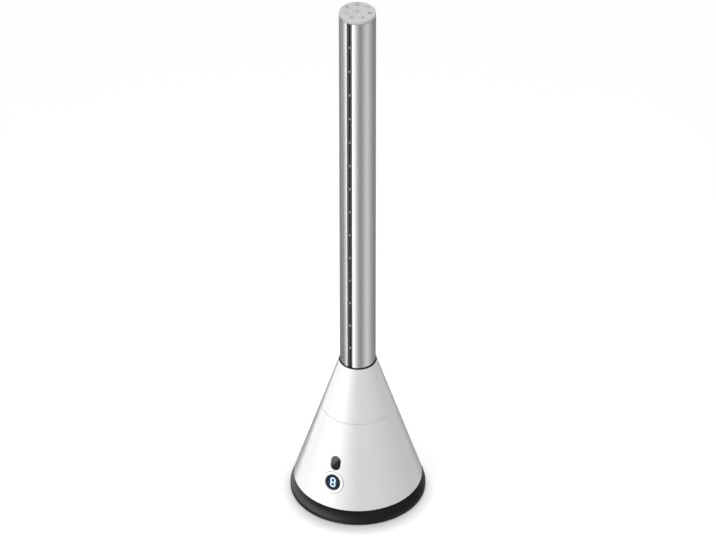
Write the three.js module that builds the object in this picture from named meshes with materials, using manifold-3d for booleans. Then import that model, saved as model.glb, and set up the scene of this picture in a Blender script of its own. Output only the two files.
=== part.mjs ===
// Bladeless column fan. Millimetres, +Z up, front towards -Y.
// The origin is on the floor, under the middle of the round base.
//
// Four groups of pieces move against each other: the standing base, the tower that turns on it,
// the impeller inside the tower, and the pinion that walks the tower round a fixed toothed ring.
// Eight keys in the top cap press down by a short travel.

import * as THREE from 'three';
import { mergeVertices } from 'three/addons/utils/BufferGeometryUtils.js';
import Module from 'manifold-3d';

const wasm = await Module();
wasm.setup();

// ------------------------------------------------------------------ clearances
const SEAT_GAP = 0.3;          // between a piece and the one that it sits on or in
const TURN_GAP = 0.4;          // round a piece that turns in a hole
const KEY_GAP = 0.25;          // round a key in its hole

// ------------------------------------------------------------------ base
const FOOT_STAND = 2;          // rubber foot below the bottom plate
const FOOT_SINK = 0.8;         // rubber foot let into the bottom plate
const FOOT_RADIUS = 8;
const FOOT_COUNT = 6;
const FOOT_EDGE = 8;           // from the foot to the edge of the bottom plate
const BASE_RADIUS = 115;
const SKIRT_LIFT = 0.6;        // floor to the skirt
const BASE_LIP = 6.9;          // upright lip under the slope
const BASE_SLOPE_WIDTH = 5.4;  // how far the slope leans in
const BASE_ROUND = 1.6;        // rounding at the top of the slope
const BASE_RIM_WIDTH = 6;
const BASE_WALL = 2.6;
const BASE_HEIGHT = 24;        // floor to the rim
const DECK_SINK = 5;           // deck below the rim
const DECK_THICKNESS = 2.5;
const PLATE_THICKNESS = 2.5;
const BOSS_RADIUS = 4.5;
const BOSS_CIRCLE = 52;
const SCREW_COUNT = 4;
const SCREW_RADIUS = 1.8;
const SCREW_HEAD_RADIUS = 3.5;
const SCREW_HEAD_HEIGHT = 1.1;
const SCREW_LENGTH = 10;
const BALLAST_INNER = 62;
const BALLAST_MARGIN = 12;     // from the ballast to the edge of the bottom plate
const BALLAST_HEIGHT = 9;
const GLAND_RADIUS = 4.2;
const GLAND_BORE = 3.2;
const GLAND_FLANGE_WIDTH = 1.2;
const GLAND_FLANGE_DEPTH = 2;

// ------------------------------------------------------------------ turntable and its drive
const SHADOW_GAP = 1.5;        // open line between the base and the cone
const TABLE_THICKNESS = 3;
const TABLE_LIP_HEIGHT = 9;
const TABLE_LIP_WALL = 2;
const HUB_RADIUS = 20;
const HUB_WALL = 6;
const RETAINER_OVERLAP = 6;    // retaining ring beyond the hub
const RETAINER_THICKNESS = 2.2;
const GLIDE_INSET = 21.2;      // middle of the glide ring from the cone's bottom edge
const GLIDE_WIDTH = 7;
const GEAR_MODULE = 1;
const RING_TEETH = 64;
const PINION_TEETH = 16;
const RING_WIDTH = 4.6;        // solid ring under the teeth
const GEAR_FACE = 4.6;         // height of the teeth
const TOOTHED_SECTOR = 104;    // degrees of the ring that carry teeth
const BACKLASH = 0.16;         // taken off the thickness of each tooth
const PINION_SHAFT_RADIUS = 3.5;
const DRIVE_MOTOR_RADIUS = 14;
const DRIVE_MOTOR_HEIGHT = 19;
const DRIVE_MOTOR_OFFSET = 8;  // its shaft stands beside its middle
const DRIVE_EAR_SPAN = 35;
const DRIVE_EAR_RADIUS = 3.5;
const DRIVE_EAR_THICKNESS = 1;
const DRIVE_PLUG_REACH = 3;    // its plug beyond the can
const DRIVE_PLUG_MARGIN = 1.5;

// ------------------------------------------------------------------ cone
const CONE_SETBACK = 5.8;      // cone's bottom edge inside the base's outline
const CONE_WALL = 2.5;
const LOWER_CONE_HEIGHT = 147.5;
const SEAM_GAP = 0.4;
const UPPER_CONE_HEIGHT = 92.3;
const SPIGOT_DEPTH = 8;        // upper cone inside the lower one
const SPIGOT_WALL = 2;
const COLLAR_WIDTH = 0.7;      // gasket between the tube and the cone
const COLLAR_BEAD = 1.3;       // width of its visible bead
const COLLAR_BEAD_HEIGHT = 1.2;
const COLLAR_DEPTH = 6;
const CONE_EDGE = 0.5;         // thickness of the cone's top edge

// ------------------------------------------------------------------ air intake at the back
const INTAKE_COLUMNS = 13;
const INTAKE_STEP = 9;         // degrees from slot to slot
const INTAKE_SLOT_WIDTH = 3.4;
const INTAKE_ROWS = 2;
const INTAKE_SLOT_HEIGHT = 36;
const INTAKE_ROW_GAP = 8;
const INTAKE_START = 32;       // cone's bottom edge to the lowest slots
const FILTER_THICKNESS = 4;
const FILTER_MARGIN = 5;       // filter beyond the slots

// ------------------------------------------------------------------ blower
const CASING_ABOVE_SEAM = 12.6;
const CASING_CLEARANCE = 8.5;  // from the casing's top to the cone
const CASING_WALL = 2;
const CASING_HEIGHT = 99.5;
const CASING_FLANGE = 12;
const CASING_FLANGE_THICKNESS = 2;
const INLET_LIP_RADIUS = 10;   // rounding of the bell mouth
const INLET_WALL = 2;
const INLET_STEP = 2.4;        // throat inside the casing's bore
const CHASSIS_RING_WIDTH = 9;
const CHASSIS_RING_THICKNESS = 3;
const LEG_COUNT = 4;
const LEG_RADIUS = 4;
const LEG_FOOT_RADIUS = 7;
const LEG_FOOT_THICKNESS = 2.5;
const MOTOR_RADIUS = 22;
const MOTOR_HEIGHT = 36;
const MOTOR_CUP_WALL = 2;
const MOTOR_COVER_HEIGHT = 16;
const MOTOR_COVER_BAND = 2;    // upright band under the dome
const MOTOR_ROUND = 2;
const SHAFT_RADIUS = 3;
const IMPELLER_HEIGHT = 30;
const IMPELLER_INLET_GAP = 1;
const IMPELLER_TIP_GAP = 0.8;
const IMPELLER_NOSE_RADIUS = 9;
const BLADE_COUNT = 7;
const BLADE_THICKNESS = 1.4;
const BLADE_WRAP = 68;         // degrees from the leading to the trailing edge
const BLADE_LEAN = 12;         // degrees that the leading edge leans back at its tip
const BLADE_TAPER = 0.4;       // share of the thickness lost at the tip
const BLADE_ROOT = 1.5;        // blade's foot below the hub's surface
const VANE_COUNT = 9;
const VANE_THICKNESS = 1.4;
const VANE_HEIGHT = 40;
const VANE_WRAP = 24;
const NUT_RADIUS = 5.5;
const NUT_HEIGHT = 4;
const DUCT_WALL = 2;

// ------------------------------------------------------------------ column
const TUBE_RADIUS = 30;
const TUBE_WALL = 1.8;
const TUBE_LENGTH = 713.8;
const TUBE_SOCKET = 26.3;      // tube inside the cone
const SOCKET_DEPTH = 12;       // tube inside the duct's socket
const SLOT_WIDTH = 9.3;        // opening down the tube's front
const GUIDE_RIB = 1.2;         // ribs inside the tube that hold the slot insert
const INSERT_WIDTH = 14.4;
const INSERT_THICKNESS = 2.4;  // insert behind the tube's wall
const NOSE_SINK = 0.7;         // insert's face below the edges of the slot
const NOSE_DISH = 0.5;         // how far its face slopes in to the throat
const THROAT_WIDTH = 2.2;      // air gap down the middle of the insert
const BAY_COUNT = 15;
const BAY_START = 4.7;         // lowest bay's start below the top of the cone
const BRIDGE_HEIGHT = 4;

// ------------------------------------------------------------------ cap and keys
const CAP_STEP = 0.3;          // tube's radius beyond the cap's
const CAP_HEIGHT = 6.8;
const CAP_TOP_THICKNESS = 2.2;
const CAP_WALL = 2;
const CAP_LEDGE = 1.2;         // thickness of the ledge between the cap and its spigot
const CAP_ROUND = 0.5;
const CAP_SPIGOT_DEPTH = 12;
const CAP_SPIGOT_WALL = 1.8;
const CAP_SPIGOT_OPENING = 80; // degrees left free for the slot insert
const KEY_RADIUS = 5.5;
const CENTRE_KEY_RADIUS = 7.2;
const KEY_CIRCLE = 19.8;
const RING_KEYS = 7;
const KEY_TRAVEL = 0.6;
const KEY_FLANGE = 0.9;        // flange beyond the key, under the cap
const KEY_FLANGE_THICKNESS = 1;
const KEY_STEM_RADIUS = 1.6;
const KEY_STEM_LENGTH = 2.4;
const SWITCH_SIZE = 5;
const SWITCH_HEIGHT = 2.4;
const BOARD_THICKNESS = 1.6;

// ------------------------------------------------------------------ front panel
const DISPLAY_HEIGHT = 43.5;   // cone's bottom edge to the middle of the display
const DISPLAY_RADIUS = 13.5;
const BEZEL_RADIUS = 19.2;
const BEZEL_PROUD = 0.8;
const BEZEL_DEPTH = 7.6;       // behind the cone's surface
const BEZEL_FLANGE = 3;
const BEZEL_FLANGE_THICKNESS = 1.4;
const BEZEL_LEDGE = 1.2;       // inner ledge that carries the lens
const BEZEL_CHAMFER = 0.5;
const LENS_THICKNESS = 1.6;
const LENS_SINK = 0.2;
const LENS_CHAMFER = 0.3;
const WINDOW_RISE = 35;        // display to window, along the cone
const WINDOW_WIDTH = 19;
const WINDOW_LENGTH = 25.6;
const WINDOW_PROUD = 0.5;
const WINDOW_CHAMFER = 0.4;
const WINDOW_DEPTH = 5;
const WINDOW_FLANGE = 2;
const WINDOW_FLANGE_THICKNESS = 1.2;
const PANEL_BOARD_DEPTH = 14;  // front of the board behind the cone's surface
const PANEL_BOARD_WIDTH = 52;
const PANEL_BOARD_BELOW = 27;
const PANEL_BOARD_ABOVE = 56;
const PANEL_POST_RADIUS = 3;
const PANEL_POST_INSET = 4;
const CHIP_SIZE = 14;
const CHIP_THICKNESS = 1.6;
const PANEL_PLUG_WIDTH = 18;
const PANEL_PLUG_HEIGHT = 7;
const PANEL_PLUG_DEPTH = 6;
const PANEL_PLUG_INSET = 3;
const DIGIT_WIDTH = 12.6;
const DIGIT_HEIGHT = 19;
const RECEIVER_WIDTH = 6;
const RECEIVER_HEIGHT = 7;

// ------------------------------------------------------------------ power board and inner cable
const POWER_BOARD_WIDTH = 48;
const POWER_BOARD_LENGTH = 62;
const POWER_BOARD_PLACE = 56;  // its middle from the axis
const POWER_POST_HEIGHT = 5.5;
const POWER_POST_RADIUS = 3;
const POWER_POST_INSET = 4;
const PART_INSET = 9;          // from the coil and the heat sink to the board's edges
const COIL_SIZE = 18;
const COIL_HEIGHT = 15;
const SINK_LENGTH = 26;
const SINK_THICKNESS = 3;
const SINK_HEIGHT = 18;
const CAPACITOR_RADIUS = 5;
const CAPACITOR_HEIGHT = 16;
const CABLE_RADIUS = 1.5;
const CABLE_GAP = 0.4;         // cable from the walls beside it
const CABLE_EASE = 2;          // how far its bends swing out
const CABLE_BEND = 14;         // length of a bend
const CABLE_LEAN = 40;         // below the seam, where it leans in
const CABLE_SETTLE = 70;       // above the tube's lower end, where it runs straight up
const CABLE_END = 20;          // its upper end below the cap's spigot

// ------------------------------------------------------------------ facets
const SHELL_FACETS = 40;       // outside of the base and the cone
const TUBE_FACETS = 40;
const CABLE_STEPS = 36;
const CABLE_SIDES = 6;
const INNER_FACETS = 20;
const PANEL_FACETS = 20;
const SMALL_FACETS = 12;
const HOLE_FACETS = 8;

// ------------------------------------------------------------------ heights worked out from the sizes
const DEGREE = Math.PI / 180;
const zPlate = FOOT_STAND;
const zLipTop = SKIRT_LIFT + BASE_LIP;
const zPlateTop = zPlate + PLATE_THICKNESS;
const zDeckTop = BASE_HEIGHT - DECK_SINK;
const zDeckBottom = zDeckTop - DECK_THICKNESS;
const zGland = (zPlateTop + zDeckBottom) / 2;
const zCone = BASE_HEIGHT + SHADOW_GAP;
const zTableTop = zCone + TABLE_THICKNESS;
const zSeam = zCone + LOWER_CONE_HEIGHT;
const zConeTop = zSeam + SEAM_GAP + UPPER_CONE_HEIGHT;
const zTube = zConeTop - TUBE_SOCKET;
const zTubeTop = zTube + TUBE_LENGTH;
const zCollarTop = zConeTop + SEAT_GAP + COLLAR_BEAD_HEIGHT;
const zCasingTop = zSeam + CASING_ABOVE_SEAM;
const zCasing = zCasingTop - CASING_HEIGHT;
const zInlet = zCasing - SEAT_GAP - INLET_WALL;
const zChassisTop = zInlet - SEAT_GAP;
const zImpeller = zInlet + INLET_LIP_RADIUS + IMPELLER_INLET_GAP;
const zMotorCup = zImpeller + IMPELLER_HEIGHT + IMPELLER_INLET_GAP;
const zMotor = zMotorCup + MOTOR_CUP_WALL + SEAT_GAP;

// ------------------------------------------------------------------ radii worked out from the sizes
const collarOuter = TUBE_RADIUS + SEAT_GAP + COLLAR_WIDTH;
const coneBore = collarOuter + SEAT_GAP;
const coneTopRadius = coneBore + CONE_EDGE;
const coneBottomRadius = BASE_RADIUS - CONE_SETBACK;
const coneSlope = (coneBottomRadius - coneTopRadius) / (zConeTop - zCone);
const coneAngle = Math.atan(coneSlope);
const coneOuter = (z) => coneBottomRadius - (z - zCone) * coneSlope;
const coneInner = (z) => coneOuter(z) - CONE_WALL / Math.cos(coneAngle);
const plateRadius = BASE_RADIUS - BASE_WALL - SEAT_GAP;
const casingOuter = coneInner(zCasingTop) - CASING_CLEARANCE;
const casingInner = casingOuter - CASING_WALL;
const throatRadius = casingInner - INLET_STEP - INLET_WALL;
const motorCupOuter = MOTOR_RADIUS + SEAT_GAP + MOTOR_CUP_WALL;
const ringPitch = GEAR_MODULE * RING_TEETH / 2;
const pinionPitch = GEAR_MODULE * PINION_TEETH / 2;
const gearDistance = ringPitch + pinionPitch;
const tubeInner = TUBE_RADIUS - TUBE_WALL;
const capRadius = TUBE_RADIUS - CAP_STEP;
const onTubeInner = (x) => -Math.sqrt(tubeInner ** 2 - x ** 2);
const insertFront = onTubeInner(INSERT_WIDTH / 2) + SEAT_GAP;
const insertBack = insertFront + INSERT_THICKNESS;

// ------------------------------------------------------------------ finishes
function finish(color, roughness, metalness) {
  return () => new THREE.MeshStandardMaterial({ color, roughness, metalness });
}
const WHITE_GLOSS = finish(0xf1f1f2, 0.25, 0);
const BLACK_SATIN = finish(0x1c1c1d, 0.45, 0);
const GREY_SATIN = finish(0xc6c7c9, 0.5, 0);
const BLACK_GLASS = finish(0x07080b, 0.08, 0);
const SATIN_ALUMINIUM = finish(0xb9babd, 0.3, 1);
const STEEL = finish(0x9a9b9d, 0.35, 1);
const CAST_IRON = finish(0x4a4a4c, 0.7, 0.6);
const RUBBER = finish(0x161616, 0.85, 0);
const NATURAL_PLASTIC = finish(0xe3e0d6, 0.5, 0);
const CIRCUIT_BOARD = finish(0x1d5a38, 0.5, 0);
const FOAM = finish(0x2d2f31, 0.95, 0);
const LIT_SEGMENTS = finish(0xdfe9ff, 0.4, 0);

// ------------------------------------------------------------------ solids from three.js shapes
/** Makes a manifold solid of a closed three.js geometry, whichever way its faces are wound. */
function solidOf(geometry) {
  const bare = new THREE.BufferGeometry();
  bare.setAttribute('position', geometry.getAttribute('position').clone());
  if (geometry.index) bare.setIndex(geometry.index.clone());
  const merged = mergeVertices(bare, 1e-4);
  const positions = merged.getAttribute('position');
  const corners = [];
  const a = new THREE.Vector3();
  const b = new THREE.Vector3();
  const c = new THREE.Vector3();
  let sixVolumes = 0;
  for (let i = 0; i < merged.index.count; i += 3) {
    const [p, q, r] = [0, 1, 2].map((k) => merged.index.getX(i + k));
    if (p === q || q === r || r === p) continue;
    corners.push(p, q, r);
    a.fromBufferAttribute(positions, p);
    b.fromBufferAttribute(positions, q);
    c.fromBufferAttribute(positions, r);
    sixVolumes += a.dot(b.cross(c));
  }
  if (sixVolumes < 0) corners.reverse();
  const mesh = new wasm.Mesh({
    numProp: 3,
    vertProperties: new Float32Array(positions.array),
    triVerts: new Uint32Array(corners),
  });
  return new wasm.Manifold(mesh);
}

/** Revolves a closed outline of [radius, height] points about the Z axis. */
function revolve(outline, facets = INNER_FACETS) {
  const points = outline.map(([radius, height]) => new THREE.Vector2(radius, height));
  if (outline[0][0] > 0 || outline.at(-1)[0] > 0) points.push(points[0].clone());
  return solidOf(new THREE.LatheGeometry(points, facets).rotateX(Math.PI / 2));
}

/** A ring of rectangular section. */
function ring(inner, outer, bottom, top, facets = INNER_FACETS) {
  return revolve([[inner, bottom], [outer, bottom], [outer, top], [inner, top]], facets);
}

/** An upright cylinder at x, y. */
function cylinder(radius, bottom, top, x = 0, y = 0, facets = SMALL_FACETS) {
  const shape = new THREE.CylinderGeometry(radius, radius, top - bottom, facets).rotateX(Math.PI / 2);
  return solidOf(shape.translate(x, y, (bottom + top) / 2));
}

/** A block between two corners. */
function block([x0, y0, z0], [x1, y1, z1]) {
  const shape = new THREE.BoxGeometry(x1 - x0, y1 - y0, z1 - z0);
  return solidOf(shape.translate((x0 + x1) / 2, (y0 + y1) / 2, (z0 + z1) / 2));
}

/** Pushes a flat outline up from one height to another. */
function prism(shape, bottom, top, curveSegments = SMALL_FACETS) {
  const settings = { depth: top - bottom, bevelEnabled: false, curveSegments };
  return solidOf(new THREE.ExtrudeGeometry(shape, settings).translate(0, 0, bottom));
}

/** Bends a thin plate: the place function gets u, v from 0 to 1 and w from -0.5 to 0.5. */
function bentPlate(place, uSteps, vSteps) {
  const shape = new THREE.BoxGeometry(1, 1, 1, uSteps, vSteps, 1);
  const positions = shape.getAttribute('position');
  for (let i = 0; i < positions.count; i += 1) {
    const spot = place(positions.getX(i) + 0.5, positions.getY(i) + 0.5, positions.getZ(i));
    positions.setXYZ(i, ...spot);
  }
  return solidOf(shape);
}

/** Joins a list of solids. */
function join(solids) {
  return solids.reduce((whole, piece) => whole.add(piece));
}

/** Takes each of a list of solids out of the first. */
function cut(solid, tools) {
  return tools.reduce((rest, tool) => rest.subtract(tool), solid);
}

/** Turns and moves a solid by a three.js matrix. */
function moved(solid, matrix) {
  return solid.transform(matrix.elements);
}

/** Evenly spaced angles, in radians. */
function angles(count, first = 0) {
  return Array.from({ length: count }, (_, i) => first + i * 2 * Math.PI / count);
}

/** Points along an arc, both ends included. */
function arcPoints(x, y, radius, start, end, steps) {
  return Array.from({ length: steps + 1 }, (_, i) => {
    const angle = start + (end - start) * i / steps;
    return [x + radius * Math.cos(angle), y + radius * Math.sin(angle)];
  });
}

/** The three.js mesh of a finished solid. */
function piece(name, solid, makeMaterial, place = [0, 0, 0]) {
  const { vertProperties, triVerts } = solid.getMesh();
  const geometry = new THREE.BufferGeometry();
  geometry.setAttribute('position', new THREE.BufferAttribute(new Float32Array(vertProperties), 3));
  geometry.setIndex(new THREE.BufferAttribute(new Uint32Array(triVerts), 1));
  geometry.computeVertexNormals();
  const mesh = new THREE.Mesh(geometry, makeMaterial());
  mesh.name = name;
  mesh.position.set(...place);
  return mesh;
}

// ------------------------------------------------------------------ base
const screwAngles = angles(SCREW_COUNT, Math.PI / SCREW_COUNT);
const screwHole = SCREW_RADIUS + SEAT_GAP;
const screwPlaces = screwAngles.map((turn) => [BOSS_CIRCLE * Math.cos(turn), BOSS_CIRCLE * Math.sin(turn)]);

/** Lies along Y at the back of the base, from one depth to another. */
function backCylinder(radius, front, back) {
  const turn = new THREE.Matrix4().makeRotationX(-Math.PI / 2).setPosition(0, 0, zGland);
  return moved(cylinder(radius, front, back), turn);
}

/** Black flared shell with the deck that the tower turns on, and bosses for the bottom screws. */
function makeBaseHousing() {
  const shoulder = BASE_RADIUS - BASE_SLOPE_WIDTH;
  const rounding = arcPoints(shoulder - BASE_ROUND, BASE_HEIGHT - BASE_ROUND, BASE_ROUND, 0, Math.PI / 2, 2);
  const rimInner = shoulder - BASE_ROUND - BASE_RIM_WIDTH;
  const shell = revolve([
    [BASE_RADIUS - BASE_WALL, SKIRT_LIFT],
    [BASE_RADIUS, SKIRT_LIFT],
    [BASE_RADIUS, zLipTop],
    ...rounding,
    [rimInner, BASE_HEIGHT],
    [rimInner, zDeckTop],
    [HUB_RADIUS + TURN_GAP, zDeckTop],
    [HUB_RADIUS + TURN_GAP, zDeckBottom],
    [shoulder - BASE_WALL, zDeckBottom],
    [BASE_RADIUS - BASE_WALL, zLipTop],
  ], SHELL_FACETS);
  const boss = cylinder(BOSS_RADIUS, zPlateTop + SEAT_GAP, zDeckTop - 1);
  const pilot = cylinder(screwHole, zPlateTop, zDeckBottom, 0, 0, HOLE_FACETS);
  const bosses = screwPlaces.map(([x, y]) => boss.translate([x, y, 0]));
  const pilots = screwPlaces.map(([x, y]) => pilot.translate([x, y, 0]));
  const cordHole = backCylinder(GLAND_RADIUS + SEAT_GAP, BASE_RADIUS / 2, BASE_RADIUS * 1.1);
  return cut(join([shell, ...bosses]), [...pilots, cordHole]);
}

const footCircle = plateRadius - FOOT_EDGE - FOOT_RADIUS;
const footPlaces = angles(FOOT_COUNT, Math.PI / 2).map((turn) => [
  footCircle * Math.cos(turn), footCircle * Math.sin(turn),
]);

/** Round plate that closes the base from below, with recesses for the feet and the screw heads. */
function makeBasePlate() {
  const plate = cylinder(plateRadius, 0, PLATE_THICKNESS, 0, 0, SHELL_FACETS);
  const recesses = footPlaces.map(([x, y]) => cylinder(FOOT_RADIUS + SEAT_GAP, -1, FOOT_SINK, x, y));
  const head = cylinder(SCREW_HEAD_RADIUS + SEAT_GAP, -1, SCREW_HEAD_HEIGHT + SEAT_GAP, 0, 0, HOLE_FACETS);
  const shank = cylinder(screwHole, 0, PLATE_THICKNESS + 1, 0, 0, HOLE_FACETS);
  const holes = screwPlaces.map(([x, y]) => head.add(shank).translate([x, y, 0]));
  return cut(plate, [...recesses, ...holes]);
}

/** Rubber foot, a little narrower where it meets the floor. */
function makeFoot() {
  const height = FOOT_STAND + FOOT_SINK;
  const bevel = FOOT_STAND / 2;
  return revolve([
    [0, 0],
    [FOOT_RADIUS - bevel, 0],
    [FOOT_RADIUS, bevel],
    [FOOT_RADIUS, height],
    [0, height],
  ], SMALL_FACETS);
}

/** Cast ring that keeps the tall column from tipping over. */
function makeBallastRing() {
  const outer = plateRadius - BALLAST_MARGIN;
  const chamfer = 1.5;
  return revolve([
    [BALLAST_INNER, 0],
    [outer, 0],
    [outer, BALLAST_HEIGHT - chamfer],
    [outer - chamfer, BALLAST_HEIGHT],
    [BALLAST_INNER + chamfer, BALLAST_HEIGHT],
    [BALLAST_INNER, BALLAST_HEIGHT - chamfer],
  ]);
}

/** Pan-head screw, head down, with its tip up in the boss. */
function makeBaseScrew() {
  const socket = cylinder(SCREW_HEAD_RADIUS / 2, -1, SCREW_HEAD_HEIGHT / 2, 0, 0, 6);
  const body = revolve([
    [0, 0],
    [SCREW_HEAD_RADIUS * 0.8, 0],
    [SCREW_HEAD_RADIUS, SCREW_HEAD_HEIGHT / 2],
    [SCREW_HEAD_RADIUS, SCREW_HEAD_HEIGHT],
    [SCREW_RADIUS, SCREW_HEAD_HEIGHT],
    [SCREW_RADIUS, SCREW_LENGTH - SCREW_RADIUS],
    [0, SCREW_LENGTH],
  ], HOLE_FACETS);
  return body.subtract(socket);
}

/** Inner radius of the skirt where it leans in above the lip. */
function skirtInner(z) {
  const lean = BASE_SLOPE_WIDTH / (zDeckBottom - zLipTop);
  return BASE_RADIUS - BASE_WALL - Math.max(0, z - zLipTop) * lean;
}

/** Grommet that the mains lead would pass through, held behind the skirt by its flange. */
function makeCordGland() {
  const flangeRadius = GLAND_RADIUS + GLAND_FLANGE_WIDTH;
  const flangeBack = Math.sqrt(skirtInner(zGland + flangeRadius) ** 2 - flangeRadius ** 2) - 2 * SEAT_GAP;
  const flangeFront = flangeBack - GLAND_FLANGE_DEPTH;
  const sleeve = backCylinder(GLAND_RADIUS, flangeFront, BASE_RADIUS - SEAT_GAP);
  const flange = backCylinder(flangeRadius, flangeFront, flangeBack);
  return sleeve.add(flange).subtract(backCylinder(GLAND_BORE, 0, BASE_RADIUS * 1.1));
}

// ------------------------------------------------------------------ gears
const PRESSURE_ANGLE = 25 * DEGREE;

/** Half of the angle that a tooth takes up at a radius, by the involute. */
function halfToothAngle(teeth, radius) {
  const pitch = GEAR_MODULE * teeth / 2;
  const baseRadius = pitch * Math.cos(PRESSURE_ANGLE);
  const involute = (r) => {
    const lean = Math.acos(Math.min(1, baseRadius / r));
    return Math.tan(lean) - lean;
  };
  const atPitch = (Math.PI * GEAR_MODULE / 2 - BACKLASH) / (2 * pitch);
  return atPitch + involute(pitch) - involute(radius);
}

/** Outline points of one tooth that points along an angle, root to root. */
function toothPoints(teeth, middle) {
  const pitch = GEAR_MODULE * teeth / 2;
  const root = pitch - 1.25 * GEAR_MODULE;
  const tip = pitch + GEAR_MODULE;
  const radii = [root, pitch, tip];
  const side = radii.map((radius) => [radius, halfToothAngle(teeth, radius)]);
  const rising = side.map(([radius, half]) => [radius, middle - half]);
  const falling = side.reverse().map(([radius, half]) => [radius, middle + half]);
  return [...rising, ...falling].map(([radius, turn]) => (
    new THREE.Vector2(radius * Math.cos(turn), radius * Math.sin(turn))
  ));
}

/** Fixed ring on the deck, with teeth over the sector that the pinion walks along, on the -X side. */
function makeRingGear() {
  const pitchTurn = 2 * Math.PI / RING_TEETH;
  const toothCount = 2 * Math.round(TOOTHED_SECTOR * DEGREE / pitchTurn / 2);
  const first = Math.PI - (toothCount - 1) / 2 * pitchTurn;
  const teeth = Array.from({ length: toothCount }, (_, i) => toothPoints(RING_TEETH, first + i * pitchTurn));
  const root = ringPitch - 1.25 * GEAR_MODULE;
  const plainStart = first + (toothCount - 0.5) * pitchTurn;
  const plainEnd = first - 0.5 * pitchTurn + 2 * Math.PI;
  const plain = arcPoints(0, 0, root, plainStart, plainEnd, 30).map(([x, y]) => new THREE.Vector2(x, y));
  const outline = new THREE.Shape([...teeth.flat(), ...plain]);
  const bore = new THREE.Path();
  bore.absarc(0, 0, root - RING_WIDTH, 0, 2 * Math.PI, true);
  outline.holes.push(bore);
  return prism(outline, 0, GEAR_FACE, 20);
}

/** Pinion with its stub shaft, which goes up through the turntable into the drive motor. */
function makePinion() {
  const teeth = angles(PINION_TEETH).map((turn) => toothPoints(PINION_TEETH, turn));
  const wheel = prism(new THREE.Shape(teeth.flat()), 0, GEAR_FACE);
  const shaftTop = zTableTop - zDeckTop - 2 * SEAT_GAP;
  return wheel.add(cylinder(PINION_SHAFT_RADIUS, GEAR_FACE / 2, shaftTop));
}

// ------------------------------------------------------------------ turntable
const hubBottom = zDeckBottom - SEAT_GAP;
const powerPosts = [-1, 1].flatMap((sideX) => [-1, 1].map((sideY) => [
  POWER_BOARD_PLACE + sideX * (POWER_BOARD_WIDTH / 2 - POWER_POST_INSET),
  sideY * (POWER_BOARD_LENGTH / 2 - POWER_POST_INSET),
]));

/** Floor of the tower: a plate that fits the cone, with a lip, a hollow hub and board posts. */
function makeTurntable() {
  const edge = (z) => coneInner(z) - SEAT_GAP;
  const lipTop = zTableTop + TABLE_LIP_HEIGHT;
  const plate = revolve([
    [HUB_RADIUS - HUB_WALL, hubBottom],
    [HUB_RADIUS, hubBottom],
    [HUB_RADIUS, zCone],
    [edge(zCone), zCone],
    [edge(lipTop), lipTop],
    [edge(lipTop) - TABLE_LIP_WALL, lipTop],
    [edge(zTableTop) - TABLE_LIP_WALL, zTableTop],
    [HUB_RADIUS - HUB_WALL, zTableTop],
  ], SHELL_FACETS);
  const post = cylinder(POWER_POST_RADIUS, zTableTop - 1, zTableTop + POWER_POST_HEIGHT, 0, 0, HOLE_FACETS);
  const posts = powerPosts.map(([x, y]) => post.translate([x, y, 0]));
  const shaftHole = cylinder(PINION_SHAFT_RADIUS + TURN_GAP, zCone - 1, zTableTop + 1, -gearDistance, 0);
  return join([plate, ...posts]).subtract(shaftHole);
}

/** Ring under the deck that keeps the tower from being lifted off. */
function makeRetainingRing() {
  const top = hubBottom - SEAT_GAP;
  return ring(HUB_RADIUS - HUB_WALL, HUB_RADIUS + RETAINER_OVERLAP, top - RETAINER_THICKNESS, top);
}

/** Slippery ring on the deck that carries the turntable near its edge. */
function makeGlideRing() {
  const middle = coneBottomRadius - GLIDE_INSET;
  const half = GLIDE_WIDTH / 2;
  const top = zCone - SEAT_GAP;
  const shoulder = (zDeckTop + top) / 2;
  return revolve([
    [middle - half, zDeckTop],
    [middle + half, zDeckTop],
    [middle + half, shoulder],
    [middle + half / 2, top],
    [middle - half / 2, top],
    [middle - half, shoulder],
  ]);
}

/** Flat round geared motor whose shaft stands beside its middle, with two screw ears. */
function makeDriveMotor() {
  const can = cylinder(DRIVE_MOTOR_RADIUS, 0, DRIVE_MOTOR_HEIGHT, 0, 0, INNER_FACETS);
  const half = DRIVE_EAR_SPAN / 2;
  const strap = block([-DRIVE_EAR_RADIUS, -half, 0], [DRIVE_EAR_RADIUS, half, DRIVE_EAR_THICKNESS]);
  const ears = [-half, half].map((y) => cylinder(DRIVE_EAR_RADIUS, 0, DRIVE_EAR_THICKNESS, 0, y));
  const hole = cylinder(DRIVE_EAR_RADIUS / 2, -1, DRIVE_EAR_THICKNESS + 1, 0, 0, HOLE_FACETS);
  const holes = [-half, half].map((y) => hole.translate([0, y, 0]));
  const plugHalf = DRIVE_MOTOR_RADIUS / 2;
  const plug = block(
    [-DRIVE_MOTOR_RADIUS - DRIVE_PLUG_REACH, -plugHalf, DRIVE_PLUG_MARGIN],
    [0, plugHalf, DRIVE_MOTOR_HEIGHT - DRIVE_PLUG_MARGIN],
  );
  return cut(join([can, strap, ...ears, plug]), holes);
}

// ------------------------------------------------------------------ cone
/** Frame on the cone's front at a height: X across, Y up along the cone, Z straight out of it. */
function panelMatrix(height) {
  const place = new THREE.Matrix4().makeTranslation(0, -coneOuter(height), height);
  const tilt = new THREE.Matrix4().makeRotationX(Math.PI / 2 - coneAngle);
  return place.multiply(tilt);
}
const zDisplay = zCone + DISPLAY_HEIGHT;
const displayFrame = panelMatrix(zDisplay);
const windowFrame = panelMatrix(zDisplay + WINDOW_RISE * Math.cos(coneAngle));

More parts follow.
